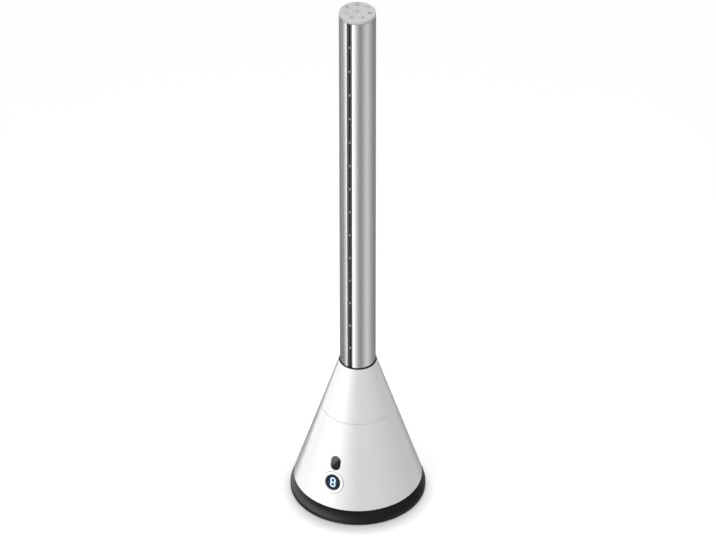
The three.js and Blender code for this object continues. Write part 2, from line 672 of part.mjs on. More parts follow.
/** Upright capsule outline, or a larger copy of it. */
function windowOutline(grow) {
  const radius = WINDOW_WIDTH / 2 + grow;
  const straight = (WINDOW_LENGTH - WINDOW_WIDTH) / 2;
  const shape = new THREE.Shape();
  shape.absarc(0, straight, radius, 0, Math.PI, false);
  shape.absarc(0, -straight, radius, Math.PI, 2 * Math.PI, false);
  return shape;
}

const panelPosts = [-1, 1].flatMap((side) => [
  [side * (PANEL_BOARD_WIDTH / 2 - PANEL_POST_INSET), PANEL_POST_INSET - PANEL_BOARD_BELOW],
  [side * (PANEL_BOARD_WIDTH / 2 - PANEL_POST_INSET), PANEL_BOARD_ABOVE - PANEL_POST_INSET],
]);

/** Narrow blocks that cut the air intake slots through the back of the lower cone. */
function intakeCutters() {
  const first = Math.PI / 2 - (INTAKE_COLUMNS - 1) / 2 * INTAKE_STEP * DEGREE;
  const cutters = [];
  for (let row = 0; row < INTAKE_ROWS; row += 1) {
    const bottom = zCone + INTAKE_START + row * (INTAKE_SLOT_HEIGHT + INTAKE_ROW_GAP);
    const middle = bottom + INTAKE_SLOT_HEIGHT / 2;
    const half = INTAKE_SLOT_WIDTH / 2;
    const reach = coneOuter(bottom) - coneOuter(middle) + 2 * CONE_WALL;
    const outline = new THREE.Shape();
    outline.absarc(0, INTAKE_SLOT_HEIGHT / 2 - half, half, 0, Math.PI, false);
    outline.absarc(0, half - INTAKE_SLOT_HEIGHT / 2, half, Math.PI, 2 * Math.PI, false);
    const upright = new THREE.Matrix4().makeBasis(
      new THREE.Vector3(0, 1, 0), new THREE.Vector3(0, 0, 1), new THREE.Vector3(1, 0, 0),
    );
    const cutter = moved(prism(outline, coneOuter(middle) - reach, coneOuter(middle) + reach, 2), upright);
    for (let column = 0; column < INTAKE_COLUMNS; column += 1) {
      const turn = new THREE.Matrix4().makeRotationZ(first + column * INTAKE_STEP * DEGREE);
      cutters.push(moved(cutter, turn.setPosition(0, 0, middle)));
    }
  }
  return cutters;
}

/** White lower shell with the air intake, the two holes of the front panel and its board posts. */
function makeLowerCone() {
  const shell = revolve([
    [coneInner(zCone), zCone],
    [coneOuter(zCone), zCone],
    [coneOuter(zSeam), zSeam],
    [coneInner(zSeam), zSeam],
  ], SHELL_FACETS);
  const wallDepth = 1.3 * CONE_WALL;
  const posts = panelPosts.map(([x, y]) => {
    const post = cylinder(PANEL_POST_RADIUS, SEAT_GAP - PANEL_BOARD_DEPTH, -wallDepth, x, y, HOLE_FACETS);
    return moved(post, displayFrame);
  });
  const holeDepth = 3 * BEZEL_DEPTH;
  const displayHole = cylinder(BEZEL_RADIUS + SEAT_GAP, -holeDepth, holeDepth, 0, 0, PANEL_FACETS);
  const windowHole = prism(windowOutline(SEAT_GAP), -holeDepth, holeDepth, 6);
  const holes = [moved(displayHole, displayFrame), moved(windowHole, windowFrame)];
  return cut(join([shell, ...posts]), [...holes, ...intakeCutters()]);
}

/** White upper shell, with a spigot that centres it in the lower one. */
function makeUpperCone() {
  const bottom = zSeam + SEAM_GAP;
  const boreStart = zCone + (coneInner(zCone) - coneBore) / coneSlope;
  const spigot = (z) => coneInner(z) - SEAT_GAP;
  const spigotBottom = zSeam - SPIGOT_DEPTH;
  const innerWall = spigot(bottom) - SPIGOT_WALL;
  return revolve([
    [spigot(spigotBottom) - SPIGOT_WALL, spigotBottom],
    [spigot(spigotBottom), spigotBottom],
    [spigot(bottom), bottom],
    [coneOuter(bottom), bottom],
    [coneTopRadius, zConeTop],
    [coneBore, zConeTop],
    [coneBore, boreStart],
    [spigot(bottom + SPIGOT_DEPTH), bottom + SPIGOT_DEPTH],
    [innerWall, bottom],
  ], SHELL_FACETS);
}

/** Dark rubber collar between the tube and the top of the cone, with a bead over the joint. */
function makeCollar() {
  const inner = TUBE_RADIUS + SEAT_GAP;
  const beadBottom = zConeTop + SEAT_GAP;
  return revolve([
    [inner, zConeTop - COLLAR_DEPTH],
    [collarOuter, zConeTop - COLLAR_DEPTH],
    [collarOuter, beadBottom],
    [inner + COLLAR_BEAD, beadBottom],
    [inner + COLLAR_BEAD, zCollarTop - COLLAR_BEAD / 3],
    [inner + COLLAR_BEAD * 0.6, zCollarTop],
    [inner, zCollarTop],
  ], TUBE_FACETS);
}

/** Foam filter behind the intake slots, shaped to the cone. */
function makeIntakeFilter() {
  const fieldHeight = INTAKE_ROWS * INTAKE_SLOT_HEIGHT + (INTAKE_ROWS - 1) * INTAKE_ROW_GAP;
  const bottom = zCone + INTAKE_START - FILTER_MARGIN;
  const top = bottom + fieldHeight + 2 * FILTER_MARGIN;
  const face = (z) => coneInner(z) - SEAT_GAP;
  const band = revolve([
    [face(bottom) - FILTER_THICKNESS, bottom],
    [face(bottom), bottom],
    [face(top), top],
    [face(top) - FILTER_THICKNESS, top],
  ], SHELL_FACETS);
  const half = (INTAKE_COLUMNS / 2 * INTAKE_STEP + 2) * DEGREE;
  const far = 2 * coneBottomRadius;
  const wedge = new THREE.Shape([
    new THREE.Vector2(0, 0),
    new THREE.Vector2(far * Math.sin(half), far * Math.cos(half)),
    new THREE.Vector2(-far * Math.sin(half), far * Math.cos(half)),
  ]);
  return band.intersect(prism(wedge, bottom - 1, top + 1));
}

// ------------------------------------------------------------------ blower
const legCircle = casingOuter + CASING_FLANGE - CHASSIS_RING_WIDTH / 2;
const legAngles = angles(LEG_COUNT, Math.PI / LEG_COUNT);

/** Ring on four legs that carries the blower above the turntable. */
function makeChassis() {
  const bottom = zTableTop + SEAT_GAP;
  const outer = casingOuter + CASING_FLANGE;
  const carrier = ring(outer - CHASSIS_RING_WIDTH, outer, zChassisTop - CHASSIS_RING_THICKNESS, zChassisTop);
  const legs = legAngles.flatMap((turn) => {
    const x = legCircle * Math.cos(turn);
    const y = legCircle * Math.sin(turn);
    return [
      cylinder(LEG_RADIUS, bottom, zChassisTop - 1, x, y, HOLE_FACETS),
      cylinder(LEG_FOOT_RADIUS, bottom, bottom + LEG_FOOT_THICKNESS, x, y),
    ];
  });
  return join([carrier, ...legs]);
}

/** Bell mouth that leads the air into the impeller. */
function makeInletRing() {
  const lip = INLET_LIP_RADIUS;
  const centre = throatRadius + lip;
  const airSide = arcPoints(centre, zInlet + lip, lip, Math.PI, 1.5 * Math.PI, 4);
  const backSide = arcPoints(centre, zInlet + lip, lip - INLET_WALL, 1.5 * Math.PI, Math.PI, 3);
  const outer = casingOuter + CASING_FLANGE;
  return revolve([...airSide, [outer, zInlet], [outer, zInlet + INLET_WALL], ...backSide]);
}

/** Hub radius of the impeller at a share of its height: a nose that opens out to the motor cup. */
function impellerHub(share) {
  return IMPELLER_NOSE_RADIUS + (motorCupOuter - IMPELLER_NOSE_RADIUS) * share ** 1.6;
}

/** Mixed-flow impeller: a flared hub with curved, leaning blades. */
function makeImpeller() {
  const steps = 4;
  const shares = Array.from({ length: steps + 1 }, (_, i) => i / steps);
  const hubLine = shares.map((share) => [impellerHub(share), IMPELLER_HEIGHT * share]);
  const bore = SHAFT_RADIUS + SEAT_GAP;
  const hub = revolve([[bore, 0], ...hubLine, [bore, IMPELLER_HEIGHT]], INNER_FACETS);
  const inletTip = throatRadius - IMPELLER_TIP_GAP;
  const outletTip = casingInner - IMPELLER_TIP_GAP;
  const blade = bentPlate((u, v, w) => {
    const root = impellerHub(u) - BLADE_ROOT;
    const tip = inletTip + (outletTip - inletTip) * Math.sqrt(u);
    const radius = root + (tip - root) * v;
    const turn = BLADE_WRAP * DEGREE * (u - u * u / 4) - BLADE_LEAN * DEGREE * v * (1 - u);
    const across = turn + w * BLADE_THICKNESS * (1 - BLADE_TAPER * v) / radius;
    const height = 1 + (IMPELLER_HEIGHT - 2) * u;
    return [radius * Math.cos(across), radius * Math.sin(across), height];
  }, 4, 2);
  const blades = angles(BLADE_COUNT).map((turn) => moved(blade, new THREE.Matrix4().makeRotationZ(turn)));
  return join([hub, ...blades]);
}

/** Casing, motor cup and the guide vanes that straighten the air between them. */
function makeDiffuser() {
  const flangeOuter = casingOuter + CASING_FLANGE;
  const flangeInner = throatRadius + INLET_LIP_RADIUS + SEAT_GAP;
  const backRadius = INLET_LIP_RADIUS - INLET_WALL;
  const backReach = flangeInner - SEAT_GAP - casingInner;
  const bellBack = zInlet + INLET_LIP_RADIUS - Math.sqrt(backRadius ** 2 - backReach ** 2);
  const step = bellBack + 2 * SEAT_GAP;
  const casing = revolve([
    [flangeInner, zCasing],
    [flangeOuter, zCasing],
    [flangeOuter, zCasing + CASING_FLANGE_THICKNESS],
    [flangeInner + CASING_WALL, zCasing + CASING_FLANGE_THICKNESS],
    [casingOuter, step + 3 * CASING_WALL],
    [casingOuter, zCasingTop],
    [casingInner, zCasingTop],
    [casingInner, step],
    [flangeInner, step],
  ]);
  const cupTop = zMotor + MOTOR_HEIGHT;
  const cup = revolve([
    [SHAFT_RADIUS + TURN_GAP + 1, zMotorCup],
    [motorCupOuter, zMotorCup],
    [motorCupOuter, cupTop],
    [motorCupOuter - MOTOR_CUP_WALL, cupTop],
    [motorCupOuter - MOTOR_CUP_WALL, zMotorCup + MOTOR_CUP_WALL],
    [SHAFT_RADIUS + TURN_GAP + 1, zMotorCup + MOTOR_CUP_WALL],
  ]);
  const vane = bentPlate((u, v, w) => {
    const radius = motorCupOuter - 1 + (casingInner + 1 - (motorCupOuter - 1)) * v;
    const turn = VANE_WRAP * DEGREE * (1 - u) ** 2 + w * VANE_THICKNESS / radius;
    const height = zMotorCup + 3 + Math.min(VANE_HEIGHT, MOTOR_HEIGHT - 3) * u;
    return [radius * Math.cos(turn), -radius * Math.sin(turn), height];
  }, 3, 1);
  const vanes = angles(VANE_COUNT).map((turn) => moved(vane, new THREE.Matrix4().makeRotationZ(turn)));
  return join([casing, cup, ...vanes]);
}

/** Round motor in the cup. */
function makeFanMotor() {
  const bore = SHAFT_RADIUS + SEAT_GAP;
  return revolve([
    [bore, 0],
    [MOTOR_RADIUS - MOTOR_ROUND, 0],
    [MOTOR_RADIUS, MOTOR_ROUND],
    [MOTOR_RADIUS, MOTOR_HEIGHT - MOTOR_ROUND],
    [MOTOR_RADIUS - MOTOR_ROUND, MOTOR_HEIGHT],
    [bore, MOTOR_HEIGHT],
  ]);
}

/** Domed cover on the motor cup, which closes the air stream behind the motor. */
function makeMotorCover() {
  const steps = 5;
  const rise = MOTOR_COVER_HEIGHT - MOTOR_COVER_BAND;
  const dome = Array.from({ length: steps + 1 }, (_, i) => {
    const turn = i / steps * Math.PI / 2;
    return [motorCupOuter * Math.cos(turn), MOTOR_COVER_BAND + rise * Math.sin(turn)];
  });
  dome[steps][0] = 0;
  return revolve([[0, 0], [motorCupOuter, 0], ...dome]);
}

const shaftBottom = zImpeller - NUT_HEIGHT - 2 * SEAT_GAP;

/** Motor shaft, from the nut under the impeller to the top of the motor. */
function makeMotorShaft() {
  return cylinder(SHAFT_RADIUS, shaftBottom, zMotor + MOTOR_HEIGHT - 1);
}

/** Six-sided nut that holds the impeller on its shaft. */
function makeImpellerNut() {
  const nut = cylinder(NUT_RADIUS, 0, NUT_HEIGHT, 0, 0, 6);
  return nut.subtract(cylinder(SHAFT_RADIUS + SEAT_GAP, -1, NUT_HEIGHT + 1));
}

const zDuct = zCasingTop + SEAT_GAP;
const socketFloor = zTube - SEAT_GAP;
const socketBore = TUBE_RADIUS + SEAT_GAP;
const cableEntry = zTube - CABLE_BEND;
const cableLine = tubeInner - CABLE_RADIUS - CABLE_GAP;

/** Where the inner cable runs: up beside the blower, through the duct's wall and up the tube. */
function cablePath() {
  const besideCasing = casingOuter + CABLE_RADIUS + CABLE_GAP;
  const start = zTableTop + POWER_POST_HEIGHT + SEAT_GAP + BOARD_THICKNESS + 1;
  const board = POWER_BOARD_PLACE + POWER_BOARD_WIDTH / 2 - POWER_POST_INSET;
  const flangeClear = casingOuter + CASING_FLANGE + 3 * CABLE_RADIUS;
  const clearOfCone = coneInner(zSeam + SEAM_GAP) - SPIGOT_WALL - 2 * CABLE_RADIUS;
  const points = [
    [board, start],
    [board - CABLE_EASE, start + CABLE_BEND],
    [flangeClear + CABLE_EASE, zInlet - CABLE_BEND],
    [flangeClear, zCasing + CABLE_BEND / 2],
    [(flangeClear + clearOfCone) / 2 - CABLE_EASE, zSeam - CABLE_LEAN],
    [besideCasing + CABLE_EASE, zSeam - CABLE_BEND / 2],
    [besideCasing, zDuct],
    [(besideCasing + cableLine) / 2 + CABLE_EASE, cableEntry - CABLE_BEND],
    [cableLine + CABLE_EASE / 2, cableEntry],
    [cableLine - CABLE_RADIUS, zTube - CABLE_EASE],
    [cableLine - CABLE_RADIUS, zTube + CABLE_BEND],
    [cableLine, zTube + CABLE_SETTLE],
    [cableLine, (zTube + zTubeTop) / 2],
    [cableLine, zTubeTop - CAP_SPIGOT_DEPTH - CABLE_END],
  ];
  return new THREE.CatmullRomCurve3(points.map(([x, z]) => new THREE.Vector3(x, 0, z)));
}

/** Round bar of a radius along the cable's path. */
function cableSolid(radius) {
  const corners = angles(CABLE_SIDES).map((turn) => (
    new THREE.Vector2(radius * Math.cos(turn), radius * Math.sin(turn))
  ));
  const settings = { steps: CABLE_STEPS, bevelEnabled: false, extrudePath: cablePath() };
  return solidOf(new THREE.ExtrudeGeometry(new THREE.Shape(corners), settings));
}

/** Funnel from the blower to the tube, with the socket that the tube stands in. */
function makeAirDuct() {
  const socketTop = zTube + SOCKET_DEPTH;
  const neck = tubeInner - 1;
  const funnel = revolve([
    [casingInner, zDuct],
    [casingOuter, zDuct],
    [socketBore + DUCT_WALL, socketFloor - DUCT_WALL],
    [socketBore + DUCT_WALL, socketTop],
    [socketBore, socketTop],
    [socketBore, socketFloor],
    [neck, socketFloor],
    [neck, socketFloor - DUCT_WALL],
  ], TUBE_FACETS);
  return funnel.subtract(cableSolid(CABLE_RADIUS + CABLE_GAP));
}

// ------------------------------------------------------------------ column
/** Section of the tube: a ring that is open at the front, with two hooked guide ribs inside. */
function tubeSection() {
  const slotHalf = SLOT_WIDTH / 2;
  const slotTurn = Math.asin(slotHalf / TUBE_RADIUS);
  const ribInside = INSERT_WIDTH / 2 + SEAT_GAP;
  const ribOutside = ribInside + GUIDE_RIB;
  const hookFront = insertBack + SEAT_GAP;
  const hookBack = hookFront + GUIDE_RIB;
  const ribTurn = Math.asin(ribOutside / tubeInner);
  const turn = Math.PI / 2;
  const outside = arcPoints(0, 0, TUBE_RADIUS, slotTurn - turn, 3 * turn - slotTurn, TUBE_FACETS);
  const inside = arcPoints(0, 0, tubeInner, 3 * turn - ribTurn, ribTurn - turn, TUBE_FACETS);
  const leftEdge = [
    [-slotHalf, onTubeInner(slotHalf)],
    [-ribInside, onTubeInner(ribInside)],
    [-ribInside, hookFront],
    [GUIDE_RIB - ribInside, hookFront],
    [GUIDE_RIB - ribInside, hookBack],
    [-ribOutside, hookBack],
  ];
  const rightEdge = leftEdge.map(([x, y]) => [-x, y]).reverse();
  const outline = [...outside, ...leftEdge, ...inside, ...rightEdge];
  return new THREE.Shape(outline.map(([x, y]) => new THREE.Vector2(x, y)));
}

/** Satin aluminium column with the long air slot down its front. */
function makeTube() {
  return prism(tubeSection(), 0, TUBE_LENGTH);
}

/** Section of the slot insert: a flange inside the tube, and a nose that fills the slot. */
function insertSection() {
  const slotHalf = SLOT_WIDTH / 2;
  const noseHalf = slotHalf - SEAT_GAP;
  const noseEdge = NOSE_SINK - Math.sqrt(TUBE_RADIUS ** 2 - slotHalf ** 2);
  const right = [
    [THROAT_WIDTH / 2, noseEdge + NOSE_DISH],
    [noseHalf, noseEdge],
    [noseHalf, insertFront],
    [INSERT_WIDTH / 2, insertFront],
    [INSERT_WIDTH / 2, insertBack],
  ];
  const left = right.map(([x, y]) => [-x, y]).reverse();
  return new THREE.Shape([...right, ...left].map(([x, y]) => new THREE.Vector2(x, y)));
}

/** Dark strip in the slot, with an air gap down its middle that rungs bridge at even steps. */
function makeSlotInsert() {
  const start = zConeTop - BAY_START - zTube;
  const pitch = (TUBE_LENGTH - start) / BAY_COUNT;
  const half = THROAT_WIDTH / 2;
  const bays = [];
  for (let bay = 0; bay < BAY_COUNT; bay += 1) {
    const low = start + bay * pitch + BRIDGE_HEIGHT / 2;
    const high = start + (bay + 1) * pitch - BRIDGE_HEIGHT / 2;
    bays.push(block([-half, -TUBE_RADIUS, low], [half, insertBack + 1, high]));
  }
  return cut(prism(insertSection(), SEAT_GAP, TUBE_LENGTH - SEAT_GAP), bays);
}

// ------------------------------------------------------------------ cap and keys
const keyPlaces = [
  { name: 'key_centre', radius: CENTRE_KEY_RADIUS, x: 0, y: 0 },
  ...angles(RING_KEYS, -Math.PI / 2).map((turn, i) => ({
    name: `key_${i + 1}`,
    radius: KEY_RADIUS,
    x: KEY_CIRCLE * Math.cos(turn),
    y: KEY_CIRCLE * Math.sin(turn),
  })),
];
const capUnder = CAP_HEIGHT - CAP_TOP_THICKNESS;
const flangeTop = capUnder - SEAT_GAP;
const stemBottom = flangeTop - KEY_FLANGE_THICKNESS - KEY_STEM_LENGTH;
const boardTop = stemBottom - KEY_TRAVEL - SEAT_GAP - SWITCH_HEIGHT;
const spigotOuter = tubeInner - SEAT_GAP;
const spigotInner = spigotOuter - CAP_SPIGOT_WALL;

/** Wedge towards the front, as wide as the opening in the cap's spigot. */
function frontWedge(bottom, top) {
  const half = CAP_SPIGOT_OPENING / 2 * DEGREE;
  const x = 2 * TUBE_RADIUS * Math.sin(half);
  const y = -2 * TUBE_RADIUS * Math.cos(half);
  const corners = [[0, 0], [-x, y], [x, y]].map((corner) => new THREE.Vector2(...corner));
  return prism(new THREE.Shape(corners), bottom, top);
}

/** Round grey cap with eight key holes and a spigot that goes down into the tube. */
function makeCap() {
  const rounding = arcPoints(capRadius - CAP_ROUND, CAP_HEIGHT - CAP_ROUND, CAP_ROUND, 0, Math.PI / 2, 2);
  const shell = revolve([
    [0, capUnder],
    [capRadius - CAP_WALL, capUnder],
    [capRadius - CAP_WALL, SEAT_GAP],
    [capRadius, SEAT_GAP],
    ...rounding,
    [0, CAP_HEIGHT],
  ], TUBE_FACETS);
  const ledgeTop = SEAT_GAP + CAP_LEDGE;
  const ledge = ring(spigotInner, capRadius - CAP_WALL / 2, SEAT_GAP, ledgeTop, TUBE_FACETS);
  const spigot = ring(spigotInner, spigotOuter, -CAP_SPIGOT_DEPTH, ledgeTop, TUBE_FACETS);
  const openSpigot = spigot.subtract(frontWedge(-CAP_SPIGOT_DEPTH - 1, SEAT_GAP));
  const holes = keyPlaces.map(({ radius, x, y }) => cylinder(radius + KEY_GAP, 0, CAP_HEIGHT + 1, x, y));
  return cut(join([shell, ledge, openSpigot]), holes);
}

/** Key with a flange that stops it under the cap, and a stem over its switch. */
function makeKey(radius) {
  const flange = radius + KEY_FLANGE;
  return revolve([
    [0, stemBottom],
    [KEY_STEM_RADIUS, stemBottom],
    [KEY_STEM_RADIUS, flangeTop - KEY_FLANGE_THICKNESS],
    [flange, flangeTop - KEY_FLANGE_THICKNESS],
    [flange, flangeTop],
    [radius, flangeTop],
    [radius, CAP_HEIGHT],
    [0, CAP_HEIGHT],
  ], SMALL_FACETS);
}

/** Board under the keys, with a push switch for each. */
function makeKeyBoard() {
  const bottom = boardTop - BOARD_THICKNESS;
  const disc = cylinder(spigotInner - SEAT_GAP, bottom, boardTop, 0, 0, INNER_FACETS);
  const switches = keyPlaces.map(({ x, y }) => {
    const half = SWITCH_SIZE / 2;
    return block([x - half, y - half, boardTop - 1], [x + half, y + half, boardTop + SWITCH_HEIGHT]);
  });
  const front = insertBack + GUIDE_RIB + 3 * SEAT_GAP;
  const side = TUBE_RADIUS;
  const notch = block([-side, -side, bottom - 1], [side, front, boardTop + SWITCH_HEIGHT + 1]);
  return join([disc, ...switches]).subtract(notch);
}

// ------------------------------------------------------------------ front panel
/** White ring round the display, pushed through the cone from inside. */
function makeBezel() {
  const inner = DISPLAY_RADIUS + SEAT_GAP;
  const flangeFront = BEZEL_FLANGE_THICKNESS - BEZEL_DEPTH;
  const lensBack = -LENS_SINK - LENS_THICKNESS - SEAT_GAP;
  return revolve([
    [inner - BEZEL_LEDGE, -BEZEL_DEPTH],
    [BEZEL_RADIUS + BEZEL_FLANGE, -BEZEL_DEPTH],
    [BEZEL_RADIUS + BEZEL_FLANGE, flangeFront],
    [BEZEL_RADIUS, flangeFront],
    [BEZEL_RADIUS, BEZEL_PROUD - BEZEL_CHAMFER],
    [BEZEL_RADIUS - BEZEL_CHAMFER, BEZEL_PROUD],
    [inner + BEZEL_CHAMFER, BEZEL_PROUD],
    [inner, BEZEL_PROUD - BEZEL_CHAMFER],
    [inner, lensBack],
    [inner - BEZEL_LEDGE, lensBack],
  ], PANEL_FACETS);
}

/** Round black lens in the bezel. */
function makeLens() {
  const front = -LENS_SINK;
  const back = front - LENS_THICKNESS;
  return revolve([
    [0, back],
    [DISPLAY_RADIUS, back],
    [DISPLAY_RADIUS, front - LENS_CHAMFER],
    [DISPLAY_RADIUS - LENS_CHAMFER, front],
    [0, front],
  ], PANEL_FACETS);
}

/** Black window of the remote control's receiver, with a flange behind the cone. */
function makeWindow() {
  const flangeFront = WINDOW_FLANGE_THICKNESS - WINDOW_DEPTH;
  const plug = prism(windowOutline(0), -WINDOW_DEPTH, WINDOW_PROUD - WINDOW_CHAMFER, 6);
  const crown = prism(windowOutline(-WINDOW_CHAMFER), 0, WINDOW_PROUD, 6);
  const flange = prism(windowOutline(WINDOW_FLANGE), -WINDOW_DEPTH, flangeFront, 6);
  return join([plug, crown, flange]);
}

/** Board behind the front panel, with a row of parts on its back. */
function makePanelBoard() {
  const half = PANEL_BOARD_WIDTH / 2;
  const back = -PANEL_BOARD_DEPTH - BOARD_THICKNESS;
  const board = block([-half, -PANEL_BOARD_BELOW, back], [half, PANEL_BOARD_ABOVE, -PANEL_BOARD_DEPTH]);
  const chipHalf = CHIP_SIZE / 2;
  const front = -PANEL_BOARD_DEPTH;
  const chip = block([-chipHalf, -chipHalf, back - CHIP_THICKNESS], [chipHalf, chipHalf, front]);
  const plugHalf = PANEL_PLUG_WIDTH / 2;
  const plugTop = PANEL_BOARD_ABOVE - PANEL_PLUG_INSET;
  const plug = block(
    [-plugHalf, plugTop - PANEL_PLUG_HEIGHT, back - PANEL_PLUG_DEPTH],
    [plugHalf, plugTop, front],
  );
  return join([board, chip, plug]);
}

/** Block that holds the lit figure behind the lens. */
function makeDigitModule() {
  const front = -LENS_SINK - LENS_THICKNESS - SEAT_GAP;
  const back = SEAT_GAP - PANEL_BOARD_DEPTH;
  return block([-DIGIT_WIDTH / 2, -DIGIT_HEIGHT / 2, back], [DIGIT_WIDTH / 2, DIGIT_HEIGHT / 2, front]);
}

/** Remote control receiver behind its window. */
function makeReceiver() {
  const back = SEAT_GAP - PANEL_BOARD_DEPTH;
  const front = -WINDOW_DEPTH - 1;
  const middle = WINDOW_RISE;
  const half = RECEIVER_WIDTH / 2;
  const tall = RECEIVER_HEIGHT / 2;
  const body = block([-half, middle - tall, back], [half, middle + tall, front - half]);
  const lens = cylinder(0.8 * half, back + 1, front, 0, middle, HOLE_FACETS);
  return body.add(lens);
}

/** Power board with its coils and capacitors. */
function makePowerBoard() {
  const halfX = POWER_BOARD_WIDTH / 2;
  const halfY = POWER_BOARD_LENGTH / 2;
  const board = block([-halfX, -halfY, 0], [halfX, halfY, BOARD_THICKNESS]);
  const left = PART_INSET - halfX;
  const front = PART_INSET - halfY;
  const back = halfY - PART_INSET;
  const coil = block([left, front, 0], [left + COIL_SIZE, front + COIL_SIZE, BOARD_THICKNESS + COIL_HEIGHT]);
  const sinkTop = BOARD_THICKNESS + SINK_HEIGHT;
  const sink = block([left, back - SINK_THICKNESS, 0], [left + SINK_LENGTH, back, sinkTop]);
  const capacitorTop = BOARD_THICKNESS + CAPACITOR_HEIGHT;
  const capacitorX = left + COIL_SIZE + 1.2 * CAPACITOR_RADIUS;
  const capacitors = [1, 3.2].map((step) => (
    cylinder(CAPACITOR_RADIUS, 0, capacitorTop, capacitorX, front + step * CAPACITOR_RADIUS)
  ));
  return join([board, coil, sink, ...capacitors]);
}

// ------------------------------------------------------------------ the whole fan
/** Everything that stands still. */
function makeBase() {
  const base = new THREE.Group();
  base.add(piece('base_housing', makeBaseHousing(), BLACK_SATIN));
  base.add(piece('base_plate', makeBasePlate(), BLACK_SATIN, [0, 0, zPlate]));
  base.add(piece('ballast_ring', makeBallastRing(), CAST_IRON, [0, 0, zPlateTop + SEAT_GAP]));
  footPlaces.forEach(([x, y], i) => {
    base.add(piece(`foot_${i + 1}`, makeFoot(), RUBBER, [x, y, 0]));
  });
  screwPlaces.forEach(([x, y], i) => {
    base.add(piece(`base_screw_${i + 1}`, makeBaseScrew(), STEEL, [x, y, zPlate]));
  });
  base.add(piece('cord_gland', makeCordGland(), RUBBER));
  base.add(piece('ring_gear', makeRingGear(), NATURAL_PLASTIC, [0, 0, zDeckTop]));
  base.add(piece('glide_ring', makeGlideRing(), NATURAL_PLASTIC));
  return base;
}

/** Pieces on the sloping front of the cone. */
function makeFrontPanel() {
  const panel = new THREE.Group();
  panel.position.set(0, -coneOuter(zDisplay), zDisplay);
  panel.rotation.x = Math.PI / 2 - coneAngle;
  panel.add(piece('display_bezel', makeBezel(), WHITE_GLOSS));
  panel.add(piece('display_lens', makeLens(), BLACK_GLASS));
  panel.add(piece('digit_module', makeDigitModule(), LIT_SEGMENTS));
  panel.add(piece('remote_window', makeWindow(), BLACK_GLASS, [0, WINDOW_RISE, 0]));
  panel.add(piece('remote_receiver', makeReceiver(), BLACK_SATIN));
  panel.add(piece('control_board', makePanelBoard(), CIRCUIT_BOARD));
  return panel;
}

/** Blower: impeller, motor and casing on their legs. */
function makeBlower() {
  const blower = new THREE.Group();
  blower.add(piece('fan_chassis', makeChassis(), BLACK_SATIN));
  blower.add(piece('inlet_ring', makeInletRing(), BLACK_SATIN));
  blower.add(piece('diffuser', makeDiffuser(), BLACK_SATIN));
  blower.add(piece('fan_motor', makeFanMotor(), STEEL, [0, 0, zMotor]));
  blower.add(piece('motor_cover', makeMotorCover(), BLACK_SATIN, [0, 0, zMotor + MOTOR_HEIGHT + SEAT_GAP]));
  blower.add(piece('impeller', makeImpeller(), NATURAL_PLASTIC, [0, 0, zImpeller]));
  blower.add(piece('motor_shaft', makeMotorShaft(), STEEL));
  blower.add(piece('impeller_nut', makeImpellerNut(), STEEL, [0, 0, zImpeller - SEAT_GAP - NUT_HEIGHT]));
  blower.add(piece('air_duct', makeAirDuct(), BLACK_SATIN));
  return blower;
}

/** Motor and pinion that swing the tower to and fro. */
function makeDrive() {
  const drive = new THREE.Group();
  drive.position.set(-gearDistance, 0, 0);
  const motorPlace = [-DRIVE_MOTOR_OFFSET, 0, zTableTop + SEAT_GAP];
  drive.add(piece('drive_motor', makeDriveMotor(), STEEL, motorPlace));
  drive.add(piece('pinion', makePinion(), NATURAL_PLASTIC, [0, 0, zDeckTop + SEAT_GAP]));
  return drive;
}

/** Cap, keys and key board on top of the tube. */
function makeTop() {
  const top = new THREE.Group();
  top.position.z = zTubeTop;
  top.add(piece('top_cap', makeCap(), GREY_SATIN));
  top.add(piece('key_board', makeKeyBoard(), CIRCUIT_BOARD));
  keyPlaces.forEach(({ name, radius, x, y }) => {
    top.add(piece(name, makeKey(radius), GREY_SATIN, [x, y, 0]));
  });
  return top;
}

/** Everything that turns on the base. */
function makeTower() {
  const tower = new THREE.Group();
  tower.add(piece('turntable', makeTurntable(), BLACK_SATIN));
  tower.add(piece('retaining_ring', makeRetainingRing(), STEEL));
  tower.add(piece('lower_cone', makeLowerCone(), WHITE_GLOSS));
  tower.add(piece('upper_cone', makeUpperCone(), WHITE_GLOSS));
  tower.add(piece('collar', makeCollar(), RUBBER));
  tower.add(piece('intake_filter', makeIntakeFilter(), FOAM));
  tower.add(piece('column_tube', makeTube(), SATIN_ALUMINIUM, [0, 0, zTube]));
  tower.add(piece('slot_insert', makeSlotInsert(), GREY_SATIN, [0, 0, zTube]));
  const boardPlace = [POWER_BOARD_PLACE, 0, zTableTop + POWER_POST_HEIGHT + SEAT_GAP];
  tower.add(piece('power_board', makePowerBoard(), CIRCUIT_BOARD, boardPlace));
  tower.add(piece('key_cable', cableSolid(CABLE_RADIUS), BLACK_SATIN));
  tower.add(makeFrontPanel(), makeBlower(), makeDrive(), makeTop());
  return tower;
}

const fan = new THREE.Group();
fan.add(makeBase(), makeTower());

export default fan;
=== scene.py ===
"""Looks of a bladeless column fan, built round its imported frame. Metres, +Z up, front towards -Y."""

